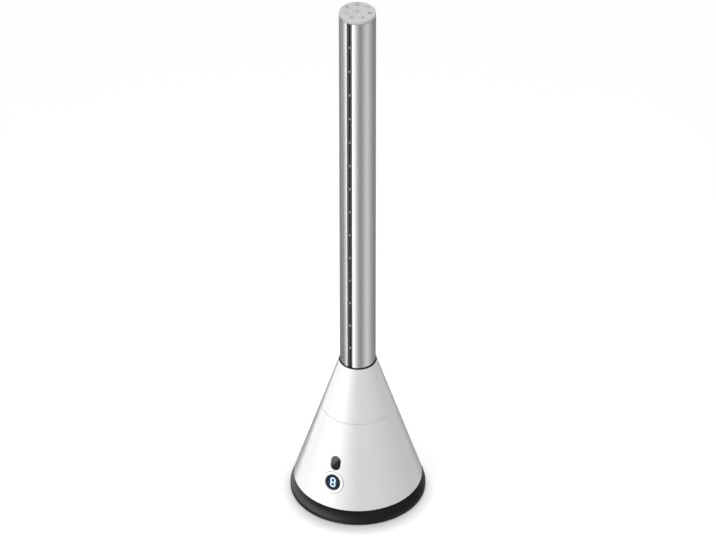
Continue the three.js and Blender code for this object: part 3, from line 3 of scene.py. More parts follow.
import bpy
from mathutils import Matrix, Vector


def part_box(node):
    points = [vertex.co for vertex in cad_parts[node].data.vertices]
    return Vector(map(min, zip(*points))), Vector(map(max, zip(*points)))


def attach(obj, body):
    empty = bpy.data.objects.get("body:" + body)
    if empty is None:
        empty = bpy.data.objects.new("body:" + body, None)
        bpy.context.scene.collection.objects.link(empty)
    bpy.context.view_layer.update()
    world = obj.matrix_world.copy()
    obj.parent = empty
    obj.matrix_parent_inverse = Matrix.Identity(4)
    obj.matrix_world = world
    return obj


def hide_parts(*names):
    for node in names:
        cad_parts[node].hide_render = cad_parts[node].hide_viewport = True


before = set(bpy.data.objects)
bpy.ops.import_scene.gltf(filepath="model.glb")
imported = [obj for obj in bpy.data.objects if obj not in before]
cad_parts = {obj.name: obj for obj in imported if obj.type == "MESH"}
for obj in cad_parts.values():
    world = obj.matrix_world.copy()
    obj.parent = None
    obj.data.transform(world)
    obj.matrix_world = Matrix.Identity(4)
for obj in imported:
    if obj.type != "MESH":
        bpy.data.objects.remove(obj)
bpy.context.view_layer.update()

import logging
import math
from collections.abc import Callable, Sequence
from dataclasses import dataclass, field
from enum import Enum

import bmesh
import bpy
from mathutils import Matrix, Vector

logging.basicConfig(level=logging.INFO, format="%(message)s")
LOG = logging.getLogger("fan")

MM = 0.001
SMOOTH_STEPS = 160       # facets round a large turned piece
MIDDLE_STEPS = 96        # facets round a middle-sized one
SMALL_STEPS = 48         # facets round a small one
SCREW_STEPS = 24         # facets round a screw
CREASE = math.radians(34)          # steeper edges stay sharp
SEAT_GAP = 0.3 * MM                # between pieces that meet
CUT_CLEAR = 1 * MM                 # how far a cutter reaches past what it cuts
LONGEST_ROUNDING = 0.49            # share of an edge that a rounding may take up
ON_AXIS = 1e-7                     # a smaller radius lies on the axis
WELD = 0.002 * MM                  # points closer than this become one
SLIVER = 0.001 * MM                # shorter edges are taken out
SAME_SURFACE = math.cos(math.radians(6))
EDGE_SAMPLES = 6
EDGE_BEND = (0.01, 0.12)           # 1 less the cosine of the bend where an edge starts and is full
CAMERA_TURN = math.radians(26.5)   # the view is from the right of the fan's front

Point = tuple[float, float]
Corner = tuple[float, float, float]
Color = tuple[float, float, float]


class Body(Enum):
    """The two bodies that carry most of the pieces. Each key is a body of its own."""

    BASE = "base"
    TOWER = "tower"


@dataclass(frozen=True)
class Box:
    """Where a node of the frame is at rest."""

    low: Vector
    high: Vector

    @classmethod
    def of(cls, node: str) -> "Box":
        """The box of a named node."""
        return cls(*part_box(node))

    @property
    def centre(self) -> Vector:
        """Its middle."""
        return (self.low + self.high) / 2

    @property
    def radius(self) -> float:
        """Half of its width along X."""
        return (self.high.x - self.low.x) / 2

    def upright(self, height: float) -> Matrix:
        """A frame on its upright middle line, at a height."""
        return Matrix.Translation((*self.centre.xy, height))


# ------------------------------------------------------------------ shader maths
class Value:
    """A number that varies over a surface. Arithmetic on it adds Math nodes."""

    def __init__(self, shader: "Shader", socket: bpy.types.NodeSocket) -> None:
        """Wraps the output socket of a node."""
        self.shader = shader
        self.socket = socket

    def __add__(self, other: "Value | float") -> "Value":
        """Sum."""
        return self.shader.math("ADD", self, other)

    def __sub__(self, other: "Value | float") -> "Value":
        """Difference."""
        return self.shader.math("SUBTRACT", self, other)

    def __rsub__(self, other: float) -> "Value":
        """Difference from a plain number."""
        return self.shader.math("SUBTRACT", other, self)

    def __mul__(self, other: "Value | float") -> "Value":
        """Product."""
        return self.shader.math("MULTIPLY", self, other)

    def __truediv__(self, other: "Value | float") -> "Value":
        """Quotient."""
        return self.shader.math("DIVIDE", self, other)

    __radd__ = __add__
    __rmul__ = __mul__

    def least(self, other: "Value | float") -> "Value":
        """The smaller of two."""
        return self.shader.math("MINIMUM", self, other)

    def most(self, other: "Value | float") -> "Value":
        """The larger of two."""
        return self.shader.math("MAXIMUM", self, other)

    def size(self) -> "Value":
        """Its absolute value."""
        return self.shader.math("ABSOLUTE", self)

    def step(self, low: float, high: float) -> "Value":
        """Rises smoothly from 0 to 1 between two values, or falls where low is the larger."""
        start, end, first, last = (low, high, 0.0, 1.0) if low < high else (high, low, 1.0, 0.0)
        return self.shader.number("MapRange", {"interpolation_type": "SMOOTHSTEP"},
                                  {0: self, 1: start, 2: end, 3: first, 4: last})


class Shader:
    """Adds nodes to one node tree, and keeps the coordinates that its nodes share."""

    def __init__(self, tree: bpy.types.NodeTree) -> None:
        """Empties the tree."""
        self.tree = tree
        tree.nodes.clear()
        self._place: bpy.types.NodeSocket | None = None

    def add(self, kind: str, settings: dict[str, object], sockets: dict[str | int, object]) -> bpy.types.Node:
        """Adds any node.

        Args:
            kind: Its type, without the leading "ShaderNode".
            settings: Its own settings, set first. "stops" are the (place, colour) stops of a ramp.
            sockets: A number, colour, socket or Value for each input, by name or index.

        Returns:
            The new node.
        """
        node = self.tree.nodes.new("ShaderNode" + kind)
        for name, setting in settings.items():
            if name == "stops":
                elements = node.color_ramp.elements
                while len(elements) < len(setting):
                    elements.new(0.5)
                for element, (place, color) in zip(elements, setting):
                    element.position = place
                    element.color = (*color, 1)
            else:
                setattr(node, name, setting)
        for key, given in sockets.items():
            source = given.socket if isinstance(given, Value) else given
            if isinstance(source, bpy.types.NodeSocket):
                self.tree.links.new(source, node.inputs[key])
            elif isinstance(source, tuple) and len(node.inputs[key].default_value) == 4:
                node.inputs[key].default_value = (*source, 1)
            else:
                node.inputs[key].default_value = source
        return node

    def number(self, kind: str, settings: dict[str, object], sockets: dict[str | int, object],
               output: str | int = 0) -> Value:
        """Adds a node and wraps one of its outputs as a number."""
        return Value(self, self.add(kind, settings, sockets).outputs[output])

    def math(self, operation: str, *values: "Value | float") -> Value:
        """Adds a Math node."""
        return self.number("Math", {"operation": operation}, dict(enumerate(values)))

    def place(self) -> bpy.types.NodeSocket:
        """The point of the surface in the row frame, which moves with its body."""
        if self._place is None:
            self._place = self.add("TexCoord", {}, {}).outputs["Object"]
        return self._place

    def axes(self, place: bpy.types.NodeSocket | None = None) -> tuple[Value, Value, Value]:
        """The three coordinates of a point of the surface."""
        parts = self.add("SeparateXYZ", {}, {0: place or self.place()}).outputs
        return Value(self, parts[0]), Value(self, parts[1]), Value(self, parts[2])

    def turned(self, matrix: Matrix) -> bpy.types.NodeSocket:
        """The point of the surface in the frame of a matrix."""
        inverse = matrix.inverted()
        settings = {"vector_type": "POINT"}
        values = {"Location": tuple(inverse.translation), "Rotation": tuple(inverse.to_euler())}
        return self.add("Mapping", settings, {"Vector": self.place(), **values}).outputs[0]

    def noise(self, scale: float, detail: float = 3, stretch: Color = (1, 1, 1)) -> Value:
        """Cloudy noise from 0 to 1.

        Args:
            scale: Clouds in a metre.
            detail: How many finer layers it has.
            stretch: More clouds along some axes than along others.

        Returns:
            The noise.
        """
        grid = self.add("Mapping", {}, {"Vector": self.place(), "Scale": stretch}).outputs[0]
        return self.number("TexNoise", {}, {"Vector": grid, "Scale": scale, "Detail": detail})

    def cells(self, scale: float, feature: str = "F1") -> Value:
        """Distance to the nearest point of a cell pattern, with so many cells in a metre."""
        return self.number("TexVoronoi", {"feature": feature}, {"Vector": self.place(), "Scale": scale},
                           "Distance")

    def edges(self, reach: float) -> Value:
        """1 on the edges of a piece and 0 away from them."""
        bent = self.add("Bevel", {"samples": EDGE_SAMPLES}, {"Radius": reach}).outputs[0]
        flat = self.add("NewGeometry", {}, {}).outputs["Normal"]
        match = self.number("VectorMath", {"operation": "DOT_PRODUCT"}, {0: bent, 1: flat}, "Value")
        return (1 - match).step(*EDGE_BEND)

    def bump(self, height: Value, depth: float) -> bpy.types.NodeSocket:
        """Normals of a relief whose height of 1 stands so many metres proud."""
        return self.add("Bump", {}, {"Height": height, "Distance": depth, "Strength": 1.0}).outputs[0]

    def mix(self, share: Value, first: "Color | bpy.types.NodeSocket",
            second: "Color | bpy.types.NodeSocket") -> bpy.types.NodeSocket:
        """A colour between two, as a share of the second."""
        return self.add("Mix", {"data_type": "RGBA"}, {0: share, 6: first, 7: second}).outputs[2]

    def surface(self, sockets: dict[str, object]) -> None:
        """Ends the tree in a Principled surface."""
        skin = self.add("BsdfPrincipled", {}, sockets)
        self.add("OutputMaterial", {}, {"Surface": skin.outputs[0]})


def shade(color: Color, factor: float) -> Color:
    """The same colour, lighter or darker."""
    return tuple(min(1.0, part * factor) for part in color)


# ------------------------------------------------------------------ finishes
@dataclass(frozen=True)
class Finish:
    """A finish: its name, its colour and its roughness."""

    name: str
    color: Color
    roughness: float

    @property
    def title(self) -> str:
        """The name of its material."""
        return "finish_" + self.name

    def material(self) -> bpy.types.Material:
        """The finish as a material, made once."""
        found = bpy.data.materials.get(self.title)
        if found is None:
            found = bpy.data.materials.new(self.title)
            found.use_nodes = True
            self.wire(Shader(found.node_tree))
        return found

    def tinted(self, shader: Shader, share: Value, first: float, second: float) -> bpy.types.NodeSocket:
        """The colour times one factor, mixed with the colour times another."""
        return shader.mix(share, shade(self.color, first), shade(self.color, second))

    def wire(self, shader: Shader) -> None:
        """Adds the finish's nodes to an empty tree."""
        raise NotImplementedError


@dataclass(frozen=True)
class GlossShell(Finish):
    """Glossy white shell: lacquer with a faint orange peel, duller where hands and dust touch it."""

    peel: float = 0.006 * MM

    def wire(self, shader: Shader) -> None:
        """Lacquer over a pale moulding."""
        cloud = shader.noise(14, 4)
        edge = shader.edges(0.7 * MM)
        dust = shader.noise(900, 2).step(0.66, 0.74)
        tint = self.tinted(shader, cloud, 0.985, 1.01)
        rubbed = shader.mix(edge * 0.35, tint, shade(self.color, 0.93))
        shader.surface({
            "Base Color": rubbed,
            "Roughness": self.roughness + cloud * 0.05 + edge * 0.12 + dust * 0.05,
            "Coat Weight": 1.0 - edge * 0.4 - dust * 0.08,
            "Coat Roughness": 0.1,
            "Normal": shader.bump(shader.noise(260, 1), self.peel),
        })


@dataclass(frozen=True)
class Moulding(Finish):
    """Satin moulded plastic: eroded grain, polished edges that are also painted lighter as a painted
    highlight, and faint flow marks.
    """

    grain: float = 0.012 * MM
    # how many times lighter the edges are painted: a painted highlight
    edge_highlight_gain: float = 1.8
    shine: float = 0.5

    def wire(self, shader: Shader) -> None:
        """Grain, worn off along the edges, where the colour is also lightened as a painted highlight."""
        edge = shader.edges(0.6 * MM)
        flow = shader.noise(22, 4)
        pits = shader.noise(2600, 2)
        tint = self.tinted(shader, flow, 0.9, 1.1)
        shader.surface({
            # the edges' colour is lightened here: a painted highlight
            "Base Color": shader.mix(edge * 0.6, tint, shade(self.color, self.edge_highlight_gain)),
            "Roughness": self.roughness + flow * 0.08 + pits * 0.06 - edge * 0.12,
            "Specular IOR Level": self.shine,
            "Normal": shader.bump(pits * (1 - edge), self.grain),
        })


@dataclass(frozen=True)
class DrawnAluminium(Finish):
    """Satin anodised aluminium, with the fine lines of drawing and brushing along its length."""

    lines: float = 0.0025 * MM

    def wire(self, shader: Shader) -> None:
        """Lines along Z, some deeper, and a softened edge."""
        fine = shader.noise(2400, 2, (1, 1, 0.004))
        broad = shader.noise(420, 3, (1, 1, 0.006))
        edge = shader.edges(0.4 * MM)
        tint = self.tinted(shader, broad, 0.965, 1.02)
        shader.surface({
            "Base Color": shader.mix(edge * 0.5, tint, shade(self.color, 1.08)),
            "Metallic": 1.0,
            "Roughness": self.roughness + fine * 0.05 + broad * 0.04 - edge * 0.05,
            "Normal": shader.bump(fine * 0.6 + broad * 0.4, self.lines),
        })


@dataclass(frozen=True)
class DisplayGlass(Finish):
    """The display's tinted disc, which glows blue round the lit figure."""

    glow: Color = (0.015, 0.045, 0.13)
    reach: float = 11.5 * MM

    def wire(self, shader: Shader) -> None:
        """Gloss with a glow that fades towards the rim."""
        across, up, _ = shader.axes(shader.turned(FrontPanel().place))
        spread = shader.math("SQRT", across * across + up * up * 0.62)
        light = spread.step(self.reach, 2.5 * MM) * (0.75 + shader.noise(300, 2) * 0.5)
        shader.surface({
            "Base Color": self.color,
            "Roughness": self.roughness + shader.noise(160, 3) * 0.05,
            "Specular IOR Level": 0.06,
            "Emission Color": shader.mix(light, (0, 0, 0), self.glow),
            "Emission Strength": 1.0,
        })


@dataclass(frozen=True)
class ReceiverGlass(Finish):
    """The remote control's window, with a painted reflection: its upper left part is painted a lighter grey
    as the glare of a lamp.
    """

    painted_glare: Color = (0.13, 0.132, 0.138)
    lean: float = 0.72           # how far the painted glare's edge leans from upright
    offset: float = -0.4 * MM

    def wire(self, shader: Shader) -> None:
        """Dark gloss, with a painted reflection: a lighter glare painted on the part above a slanting line.
        """
        across, up, _ = shader.axes(shader.turned(FrontPanel().window_place))
        # behind is the mask of the painted glare, on the upper left of a slanting line; fade makes the glare
        # weaker lower down
        behind = (across - up * self.lean - self.offset).step(0.5 * MM, -0.5 * MM)
        fade = up.step(-11 * MM, 9 * MM) * 0.5 + 0.5
        shader.surface({
            "Base Color": shader.mix(behind * fade, self.color, self.painted_glare),
            "Roughness": self.roughness + shader.noise(160, 3) * 0.05,
            "Specular IOR Level": 0.05,
        })


@dataclass(frozen=True)
class LitFigure(Finish):
    """Light behind the display's figure."""

    strength: float = 1.0

    def wire(self, shader: Shader) -> None:
        """An even light, a little weaker in places."""
        shader.surface({
            "Base Color": (0.3, 0.36, 0.5),
            "Roughness": self.roughness + shader.noise(500, 2) * 0.1,
            "Emission Color": self.tinted(shader, shader.noise(260, 2), 0.92, 1.0),
            "Emission Strength": self.strength,
        })


@dataclass(frozen=True)
class Rubber(Finish):
    """Matt rubber with a fine bloom."""

    def wire(self, shader: Shader) -> None:
        """Bloom and a soft grain."""
        bloom = shader.noise(60, 5)
        edge = shader.edges(0.4 * MM)
        shader.surface({
            "Base Color": self.tinted(shader, bloom.step(0.45, 0.8) * 0.5 + edge * 0.3, 1.0, 2.6),
            "Roughness": self.roughness - edge * 0.15 + bloom * 0.08,
            "Normal": shader.bump(shader.noise(1800, 2), 0.02 * MM),
        })


@dataclass(frozen=True)
class PlatedSteel(Finish):
    """Zinc plated steel: spangled, with fine turning marks."""

    def wire(self, shader: Shader) -> None:
        """Spangle and scratches."""
        spangle = shader.cells(420)
        scratch = shader.noise(1500, 3, (1, 1, 0.1))
        shader.surface({
            "Base Color": self.tinted(shader, spangle, 0.85, 1.15),
            "Metallic": 1.0,
            "Roughness": self.roughness + spangle * 0.12 + scratch * 0.08,
            "Normal": shader.bump(scratch, 0.006 * MM),
        })


@dataclass(frozen=True)
class CastIron(Finish):
    """Rough casting with specks of rust."""

    rust: Color = (0.16, 0.06, 0.025)

    def wire(self, shader: Shader) -> None:
        """Sand grain, and rust in the low spots."""
        sand = shader.noise(700, 5)
        spots = shader.noise(90, 5).step(0.56, 0.7)
        shader.surface({
            "Base Color": shader.mix(spots, self.color, self.rust),
            "Metallic": 0.6 - spots * 0.6,
            "Roughness": self.roughness + spots * 0.2,
            "Normal": shader.bump(sand, 0.12 * MM),
        })


@dataclass(frozen=True)
class OpenFoam(Finish):
    """Open filter foam: a net of fine struts round pores, with painted shade in the pores and painted light
    on the struts.
    """

    pores: float = 1100

    def wire(self, shader: Shader) -> None:
        """Struts stand proud of the pores and are painted lighter as painted light, with a little caught
        dust; the pores get painted shade.
        """
        strut = shader.cells(self.pores, "DISTANCE_TO_EDGE").step(0.16, 0.03)
        dust = shader.noise(45, 4).step(0.5, 0.8)
        # lit is the struts' colour made lighter: painted light
        lit = shader.mix(dust * 0.35, shade(self.color, 1.6), (0.2, 0.19, 0.18))
        shader.surface({
            # the pores are painted a fifth as bright: painted shade
            "Base Color": shader.mix(strut, shade(self.color, 0.2), lit),
            "Roughness": self.roughness,
            "Normal": shader.bump(strut, 0.25 * MM),
        })


@dataclass(frozen=True)
class CircuitBoard(Finish):
    """Lacquered laminate with tracks. What stands on it is black, and its pins are tinned."""

    track_step: float = 2.54 * MM

    def wire(self, shader: Shader) -> None:
        """Tracks on a grid, broken up by noise, and tinned joints where the grid's lines cross."""
        across, along, _ = shader.axes()
        rows = [shader.math("PINGPONG", axis, self.track_step / 2) for axis in (across, along)]
        lines = [row.step(0.35 * MM, 0.2 * MM) for row in rows]
        routed = shader.noise(70, 2).step(0.48, 0.52)
        track = lines[0] * routed + lines[1] * (1 - routed)
        joint = lines[0] * lines[1] * shader.noise(160, 1).step(0.5, 0.55)
        green = self.tinted(shader, track.least(1.0), 1.0, 2.2)
        shader.surface({
            "Base Color": shader.mix(joint, green, (0.62, 0.62, 0.6)),
            "Metallic": joint,
            "Roughness": self.roughness - track * 0.1,
            "Normal": shader.bump(track + joint * 2.0, 0.03 * MM),
        })


@dataclass(frozen=True)
class Ladder(Finish):
    """The slot insert: dark strips beside the air gap, and pale rungs across it, with painted shade on what
    lies deep in the gap.
    """

    rung: Color = (0.42, 0.42, 0.43)
    rung_half: float = 1.1 * MM
    face: float = -28.2 * MM         # what lies deeper than this is painted darker: painted shade in the gap

    def wire(self, shader: Shader) -> None:
        """The strip and rung colours, split at the edges of the gap, with painted shade deeper in the gap and
        a moulded grain.
        """
        across, depth, _ = shader.axes()
        rung = across.size().step(self.rung_half - 0.02 * MM, self.rung_half - 0.12 * MM)
        # front is 1 on the insert's face and 0 deep in the gap, where the colour is painted darker as painted
        # shade
        front = depth.step(self.face, self.face - 0.3 * MM)
        pits = shader.noise(2200, 2)
        strip_and_painted_shade = self.tinted(shader, front, 0.1, 1.0)
        shader.surface({
            "Base Color": shader.mix(rung * front, strip_and_painted_shade, self.rung),
            "Roughness": self.roughness + pits * 0.08,
            "Normal": shader.bump(pits, 0.012 * MM),
        })


class Finishes(Enum):
    """Every finish on the fan."""

    WHITE = GlossShell("white_gloss", (0.80, 0.80, 0.805), 0.24)
    # the black's edges are painted four times lighter: a painted highlight line along the base's lip
    BLACK = Moulding("black_satin", (0.016, 0.016, 0.0162), 0.26, 0.01 * MM, 4.0, 0.15)
    GREY = Moulding("grey_satin", (0.57, 0.575, 0.58), 0.34, 0.008 * MM, 1.08)
    INK = Moulding("grey_ink", (0.2, 0.205, 0.215), 0.5, 0.004 * MM, 1.0)
    DISPLAY = DisplayGlass("black_gloss_display", (0.004, 0.006, 0.012), 0.09)
    RECEIVER = ReceiverGlass("black_gloss_receiver", (0.004, 0.0045, 0.006), 0.09)
    ALUMINIUM = DrawnAluminium("satin_aluminium", (0.84, 0.845, 0.85), 0.23)
    STEEL = PlatedSteel("steel", (0.5, 0.5, 0.51), 0.3)
    IRON = CastIron("iron", (0.06, 0.06, 0.064), 0.65)
    RUBBER = Rubber("black_rubber", (0.015, 0.015, 0.0152), 0.72)
    NATURAL = Moulding("natural_plastic", (0.72, 0.70, 0.63), 0.42, 0.01 * MM, 1.06)
    BOARD = CircuitBoard("circuit_board", (0.012, 0.10, 0.04), 0.42)
    FOAM = OpenFoam("filter_foam", (0.03, 0.033, 0.035), 0.92)
    FIGURE = LitFigure("lit_figure", (0.56, 0.76, 1.0), 0.4)
    LADDER = Ladder("grey_satin_ladder", (0.05, 0.05, 0.051), 0.5)


# ------------------------------------------------------------------ meshes
def put(name: str, data: bpy.types.ID) -> bpy.types.Object:
    """Puts a new object in the scene."""
    thing = bpy.data.objects.new(name, data)
    bpy.context.scene.collection.objects.link(thing)
    return thing


def rounded(corners: Sequence[Corner], steps: int = 5) -> list[Point]:
    """Rounds the corners of a closed outline.

    Args:
        corners: x, y and rounding of each corner. A rounding of 0 leaves it sharp.
        steps: Pieces of each rounding.

    Returns:
        The points of the outline.
    """
    points: list[Point] = []
    for i, (x, y, radius) in enumerate(corners):
        corner = Vector((x, y))
        before = Vector(corners[i - 1][:2]) - corner
        after = Vector(corners[(i + 1) % len(corners)][:2]) - corner
        if radius <= 0:
            points.append((x, y))
            continue
        longest = LONGEST_ROUNDING * min(before.length, after.length)
        reach = min(radius / math.tan(before.angle(after) / 2), longest)
        start = corner + before.normalized() * reach
        end = corner + after.normalized() * reach
        for step in range(steps + 1):
            t = step / steps
            points.append(tuple(start * (1 - t) ** 2 + corner * 2 * t * (1 - t) + end * t ** 2))
    return points


def arc(centre: Point, radius: float, start: float, end: float, steps: int) -> list[Point]:
    """Points along an arc, both ends included, with the angles in radians."""
    turns = [start + (end - start) * i / steps for i in range(steps + 1)]
    return [(centre[0] + radius * math.cos(turn), centre[1] + radius * math.sin(turn)) for turn in turns]


def capsule(half: float, straight: float, steps: int) -> list[Point]:
    """Upright capsule of a half width, with its round ends centred so far above and below the middle."""
    return [*arc((0, straight), half, 0, math.pi, steps),
            *arc((0, -straight), half, math.pi, 2 * math.pi, steps)]


def mesh_of(shape: bmesh.types.BMesh, matrix: Matrix | None = None) -> bpy.types.Mesh:
    """Turns a finished bmesh into a smooth mesh with sharp creases.

    Args:
        shape: The shape, which is freed.
        matrix: Where it goes.

    Returns:
        The mesh.
    """
    if matrix is not None:
        shape.transform(matrix)
    bmesh.ops.recalc_face_normals(shape, faces=shape.faces)
    mesh = bpy.data.meshes.new("mesh")
    shape.to_mesh(mesh)
    shape.free()
    return crease(mesh)


def crease(mesh: bpy.types.Mesh) -> bpy.types.Mesh:
    """Shades a mesh smooth, with its steeper edges sharp."""
    mesh.shade_smooth()
    mesh.set_sharp_from_angle(angle=CREASE)
    return mesh


def skin(rings: Sequence[Sequence[bmesh.types.BMVert]], shape: bmesh.types.BMesh, loop: bool) -> None:
    """Joins rings of points by faces. A ring may be a single point.

    Args:
        rings: The rings, in order.
        shape: What the faces go into.
        loop: Whether the last ring joins the first.
    """
    count = max(len(ring) for ring in rings)
    last = len(rings) if loop else len(rings) - 1
    for i in range(last):
        near, far = rings[i], rings[(i + 1) % len(rings)]
        if len(near) == len(far) == 1:
            continue
        for k in range(count):
            n = (k + 1) % count
            corners = [near[k % len(near)], near[n % len(near)], far[n % len(far)], far[k % len(far)]]
            shape.faces.new(list(dict.fromkeys(corners)))


def revolve(outline: Sequence[Point], matrix: Matrix | None = None,
            steps: int = SMOOTH_STEPS) -> bpy.types.Mesh:
    """Turns a closed outline of (radius, height) points about the Z axis.

    Args:
        outline: The points. Those with no radius lie on the axis.
        matrix: Where the mesh goes.
        steps: Facets round it.

    Returns:
        The mesh.
    """
    shape = bmesh.new()
    turns = [2 * math.pi * k / steps for k in range(steps)]
    rings = []
    for radius, height in outline:
        around = [(radius * math.cos(t), radius * math.sin(t)) for t in turns]
        spots = [(0, 0)] if radius < ON_AXIS else around
        rings.append([shape.verts.new((x, y, height)) for x, y in spots])
    skin(rings, shape, True)
    return mesh_of(shape, matrix)


def stack(layers: Sequence[tuple[Sequence[Point], float]], matrix: Matrix | None = None) -> bpy.types.Mesh:
    """Joins flat outlines of as many points, each at its height, and closes both ends.

    Args:
        layers: Outline and height of each layer, from the bottom.
        matrix: Where the mesh goes.

    Returns:
        The mesh.
    """
    shape = bmesh.new()
    rings = [[shape.verts.new((x, y, height)) for x, y in outline] for outline, height in layers]
    skin(rings, shape, False)
    shape.faces.new(rings[0])
    shape.faces.new(rings[-1])
    return mesh_of(shape, matrix)


def prism(outline: Sequence[Point], bottom: float, top: float,
          matrix: Matrix | None = None) -> bpy.types.Mesh:
    """A flat outline pushed up from one height to another."""
    return stack([(outline, bottom), (outline, top)], matrix)


def ribbon(line: Sequence[Point], width: float, top: float, thickness: float,
           loop: bool = False) -> bpy.types.Mesh:
    """A flat printed line.

    Args:
        line: The points that it follows.
        width: Its width.
        top: Height of its upper face.
        thickness: Its thickness.
        loop: Whether it closes on itself.

    Returns:
        The mesh.
    """
    shape = bmesh.new()
    spots = [Vector(point) for point in line]
    rings = []
    for i, spot in enumerate(spots):
        before = spots[i - 1] if loop or i > 0 else spot
        after = spots[(i + 1) % len(spots)] if loop or i < len(spots) - 1 else spot
        along = (after - before).normalized()
        side = Vector((-along.y, along.x)) * width / 2
        sides = [spot + side, spot - side]
        under = top - thickness
        ring = [(*sides[0], top), (*sides[1], top), (*sides[1], under), (*sides[0], under)]
        rings.append([shape.verts.new(corner) for corner in ring])
    skin(rings, shape, loop)
    if not loop:
        shape.faces.new(rings[0])
        shape.faces.new(rings[-1])
    return mesh_of(shape)


def joined(meshes: Sequence[bpy.types.Mesh], matrix: Matrix | None = None) -> bpy.types.Mesh:
    """Several meshes as one, without cutting them.

    Args:
        meshes: The meshes, which are removed.
        matrix: Where they go.

    Returns:
        The mesh of them all.
    """
    shape = bmesh.new()
    for mesh in meshes:
        shape.from_mesh(mesh)
        bpy.data.meshes.remove(mesh)
    return mesh_of(shape, matrix)


def carved(mesh: bpy.types.Mesh, cutters: Sequence[bpy.types.Mesh]) -> bpy.types.Mesh:
    """Takes the cutters out of a mesh.

    Args:
        mesh: What is cut.
        cutters: Closed meshes that don't touch each other.

    Returns:
        The cut mesh.
    """
    tool = put("tool", joined(cutters))
    target = put("target", mesh)
    cut = target.modifiers.new("cut", "BOOLEAN")
    cut.operation = "DIFFERENCE"
    cut.solver = "EXACT"
    cut.object = tool
    graph = bpy.context.evaluated_depsgraph_get()
    result = bpy.data.meshes.new_from_object(target.evaluated_get(graph))
    for part in (target, tool):
        bpy.data.objects.remove(part)
    shape = bmesh.new()
    shape.from_mesh(result)
    bmesh.ops.remove_doubles(shape, verts=shape.verts, dist=WELD)
    bmesh.ops.dissolve_degenerate(shape, edges=shape.edges, dist=SLIVER)
    return mesh_of(shape)


def set_normals(mesh: bpy.types.Mesh, normal_at: Callable[[Vector], Vector]) -> bpy.types.Mesh:
    """Gives the faces that lie on a known surface the normals of that surface.

    Args:
        mesh: The mesh, already smooth.
        normal_at: The surface's normal at a point.

    Returns:
        The same mesh.
    """
    normals = [corner.vector.copy() for corner in mesh.corner_normals]
    for face in mesh.polygons:
        if face.normal.dot(normal_at(face.center)) < SAME_SURFACE:
            continue
        for index in face.loop_indices:
            normals[index] = normal_at(mesh.vertices[mesh.loops[index].vertex_index].co)
    mesh.normals_split_custom_set(normals)
    return mesh


# ------------------------------------------------------------------ pieces
def add_piece(name: str, mesh: bpy.types.Mesh, finish: Finishes, body: str, slot: str,
              *replaced: str) -> None:
    """Puts a mesh in the scene as a piece of the fan.

    Args:
        name: The piece's name.
        mesh: Its mesh, in the row frame.
        finish: Its finish.
        body: The body that it rides on.
        slot: The record's material slot; not used.
        *replaced: The nodes of the frame that it stands for.
    """
    mesh.name = name
    piece = put(name, mesh)
    mesh.materials.append(finish.value.material())
    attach(piece, body)
    if replaced:
        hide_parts(*replaced)
    LOG.info("%s on %s: %d faces", name, body, len(mesh.polygons))


def smooth_group() -> bpy.types.NodeTree:
    """A modifier tree that shades a faceted node smooth, with its steeper edges sharp."""
    found = bpy.data.node_groups.get("smooth_by_angle")
    if found is not None:
        return found
    tree = bpy.data.node_groups.new("smooth_by_angle", "GeometryNodeTree")
    for in_out in ("INPUT", "OUTPUT"):
        tree.interface.new_socket("Geometry", in_out=in_out, socket_type="NodeSocketGeometry")
    start = tree.nodes.new("NodeGroupInput")
    angle = tree.nodes.new("GeometryNodeInputMeshEdgeAngle")
    steep = tree.nodes.new("FunctionNodeCompare")
    steep.operation = "GREATER_THAN"
    steep.inputs[1].default_value = CREASE
    sharp = tree.nodes.new("GeometryNodeSetShadeSmooth")
    sharp.domain = "EDGE"
    sharp.inputs["Shade Smooth"].default_value = False
    smooth = tree.nodes.new("GeometryNodeSetShadeSmooth")
    end = tree.nodes.new("NodeGroupOutput")
    for source, target in ((start.outputs[0], sharp.inputs[0]), (angle.outputs[0], steep.inputs[0]),
                           (steep.outputs[0], sharp.inputs["Selection"]),
                           (sharp.outputs[0], smooth.inputs[0]), (smooth.outputs[0], end.inputs[0])):
        tree.links.new(source, target)
    return tree


def dress_node(node: str, finish: Finishes, bevel: float = 0.0) -> None:
    """Gives a node of the frame its finish, smooth shading and, where asked, rounded edges.

    Args:
        node: Its name.
        finish: Its finish.
        bevel: Width of the rounding.
    """
    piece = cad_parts[node]
    piece.data.materials.clear()
    piece.data.materials.append(finish.value.material())
    if bevel > 0:
        edge = piece.modifiers.new("edges", "BEVEL")
        edge.width = bevel
        edge.segments = 2
        edge.limit_method = "ANGLE"
        edge.angle_limit = CREASE
    piece.modifiers.new("smooth", "NODES").node_group = smooth_group()
    LOG.info("%s keeps its shape and takes %s", node, finish.value.title)


